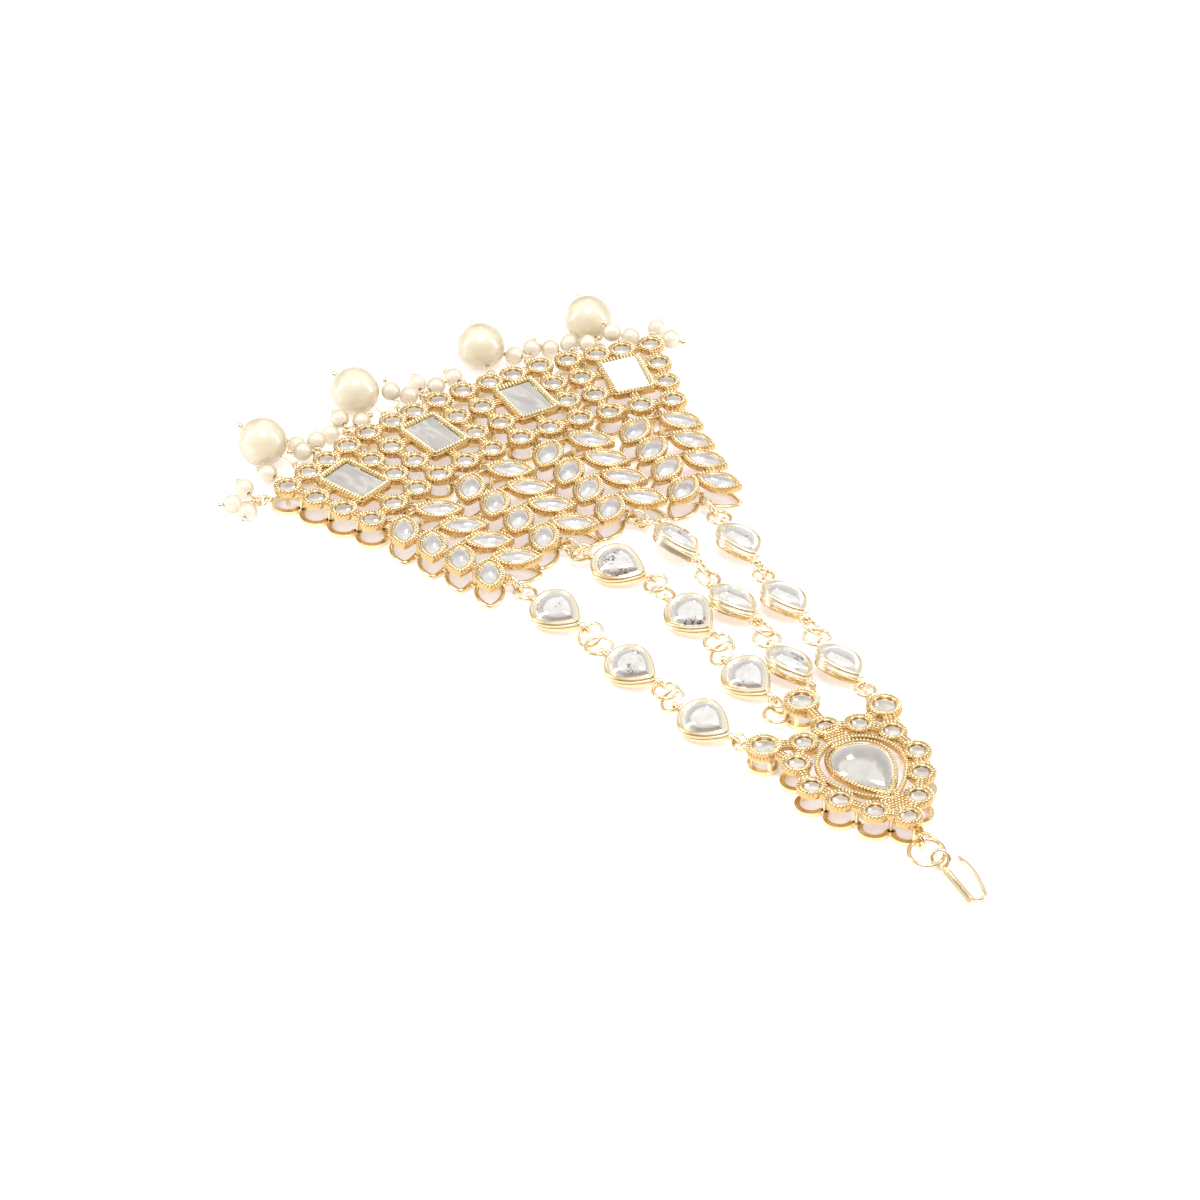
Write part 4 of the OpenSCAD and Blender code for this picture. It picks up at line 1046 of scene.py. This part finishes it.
# Small pearls: x, y, height, lug, angle of the pin's eye on its ring
SMALL = [
    (39.4, -59.4, 1.6, 0, -30), (43.7, -56, 2.4, 0, 0), (43.1, -52.4, 2.6, 0, 30),
    (34.2, -60.2, 1.75, 1, 0),
    (26.3, -64.7, 1.6, 3, -30), (26.3, -61.2, 2.6, 3, 30), (23.6, -63, 2.4, 3, 0),
    (20.2, -64.3, 1.6, 4, -30), (17.4, -65.8, 2.7, 4, 30), (14.3, -64.1, 1.9, 4, 0),
    (7.4, -65.5, 3.7, 6, 45),
    (3.9, -65.6, 2, 7, 0), (0.9, -68.1, 1.7, 7, -30), (-0.7, -65, 2.4, 7, 30),
    (-4.9, -65.3, 1.9, 8, 0),
    (-16.5, -65.7, 1.9, 10, 25), (-19.7, -65.3, 2.3, 10, -25),
    (-22.7, -64.3, 1.6, 11, -30), (-25.5, -62.7, 2.2, 11, 0), (-27.3, -60.1, 3.2, 11, 36),
    (-31.9, -58.3, 3.6, 13, 45),
    (-35.4, -59.4, 1.8, 14, -30), (-39.3, -58, 2.1, 14, 0), (-40.1, -54.5, 2.3, 14, 30),
]


def anchor_hole(k):
    owner, x, direction, length = ANCHORS[k]
    panel = SQUARES[owner]
    spot = Vector((x, PEARL_ROW)) + turned((length, 0), direction)
    return at(panel[0], panel[1], 0, panel[2]) @ Vector((*spot, lug_z))


def anchor_heading(k):
    """Heading from a lug to the middle of its pearls."""
    own = [p[:2] for p in SMALL if p[3] == k] + [p[:2] for p in LARGE if p[2] == k]
    centre = sum((Vector(p) for p in own), Vector((0, 0))) / len(own)
    return heading(centre - anchor_hole(k).to_2d())


def anchor_ring(k):
    return anchor_hole(k) + Vector((*turned((pearl_ring_r, 0), anchor_heading(k)), 0))


def eye_at(k, angle):
    a = math.radians(angle)
    out = turned((pearl_ring_r * math.cos(a), 0), anchor_heading(k))
    return anchor_ring(k) + Vector((*out, pearl_ring_r * math.sin(a)))


def seated(eye, spot, radius):
    """A pearl keeps at least its radius and an eye between itself and its ring."""
    way = Vector(spot) - eye
    return eye + way.normalized() * max(way.length, radius + eye_r + eye_wire_r + pin_gap)


def drilled_pearl(radius, bore):
    """A ball turned with a hole through it."""
    first = math.asin(bore / radius)
    round_part = [(radius * math.sin(a), -radius * math.cos(a))
                  for a in [first + (math.pi - 2 * first) * k / 24 for k in range(25)]]
    return spun([(bore, 0), *round_part, (bore, 0)], 40)


def along(eye, spot):
    """The place of something at spot that points away from its eye."""
    return Matrix.Translation(spot) @ (spot - eye).to_track_quat("Z", "Y").to_matrix().to_4x4()


def pin(form, eye, spot, radius, ball_r):
    """A ball-headed pin: an eye round the ring, a wire through the pearl and a ball that stops it."""
    way = (spot - eye).normalized()
    side = Vector((-way.y, way.x, 0)).normalized()
    steps = [math.tau * k / 28 for k in range(28)]
    loop = [eye + eye_r * (math.cos(a) * way + math.sin(a) * side) for a in steps]
    stamp(form, wires([loop], eye_wire_r, closed=True))
    out = (spot - eye).length + radius + pin_gap + ball_r
    stamp(form, wires([[eye + way * eye_r, eye + way * out]], eye_wire_r))
    ball = bmesh.new()
    bmesh.ops.create_uvsphere(ball, u_segments=20, v_segments=12, radius=ball_r)
    stamp(form, to_mesh(ball), Matrix.Translation(eye + way * out))


pins = bmesh.new()
for i, (x, y, k) in enumerate(LARGE):
    eye = eye_at(k, 0)
    spot = seated(eye, (x, y, large_r + 0.02), large_r)
    form = bmesh.new()
    stamp(form, drilled_pearl(large_r, large_bore), along(eye, spot))
    pearl = rounded(form, f"cream_pearl_{i + 1}", LARGE_NACRE)
    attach(pearl, "root")
    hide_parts(f"large_pearl_{i + 1}")
    pin(pins, eye, spot, large_r, large_ball_r)
form = bmesh.new()
SMALL_PEARL = drilled_pearl(small_r, small_bore)
for x, y, z, k, angle in SMALL:
    eye = eye_at(k, angle)
    spot = seated(eye, (x, y, z), small_r)
    stamp(form, SMALL_PEARL, along(eye, spot))
    pin(pins, eye, spot, small_r, small_ball_r)
seed_pearls = rounded(form, "seed_pearls", SMALL_NACRE)
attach(seed_pearls, "root")
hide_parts("small_pearls")

# The pearls hang by ball-headed pins from small rings in the lugs of the square panels.
head_pins = rounded(pins, "ball_head_pins", WIRE_GOLD)
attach(head_pins, "root")
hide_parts("pearl_pins")
form = bmesh.new()
stamp(form, wires([ring_path(anchor_ring(k), pearl_ring_r, (*turned((1, 0), anchor_heading(k)), 0), 90)
                   for k in range(len(ANCHORS))], pearl_wire_r, closed=True))
small_rings = rounded(form, "pearl_jump_rings", WIRE_GOLD)
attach(small_rings, "root")
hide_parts("pearl_rings")
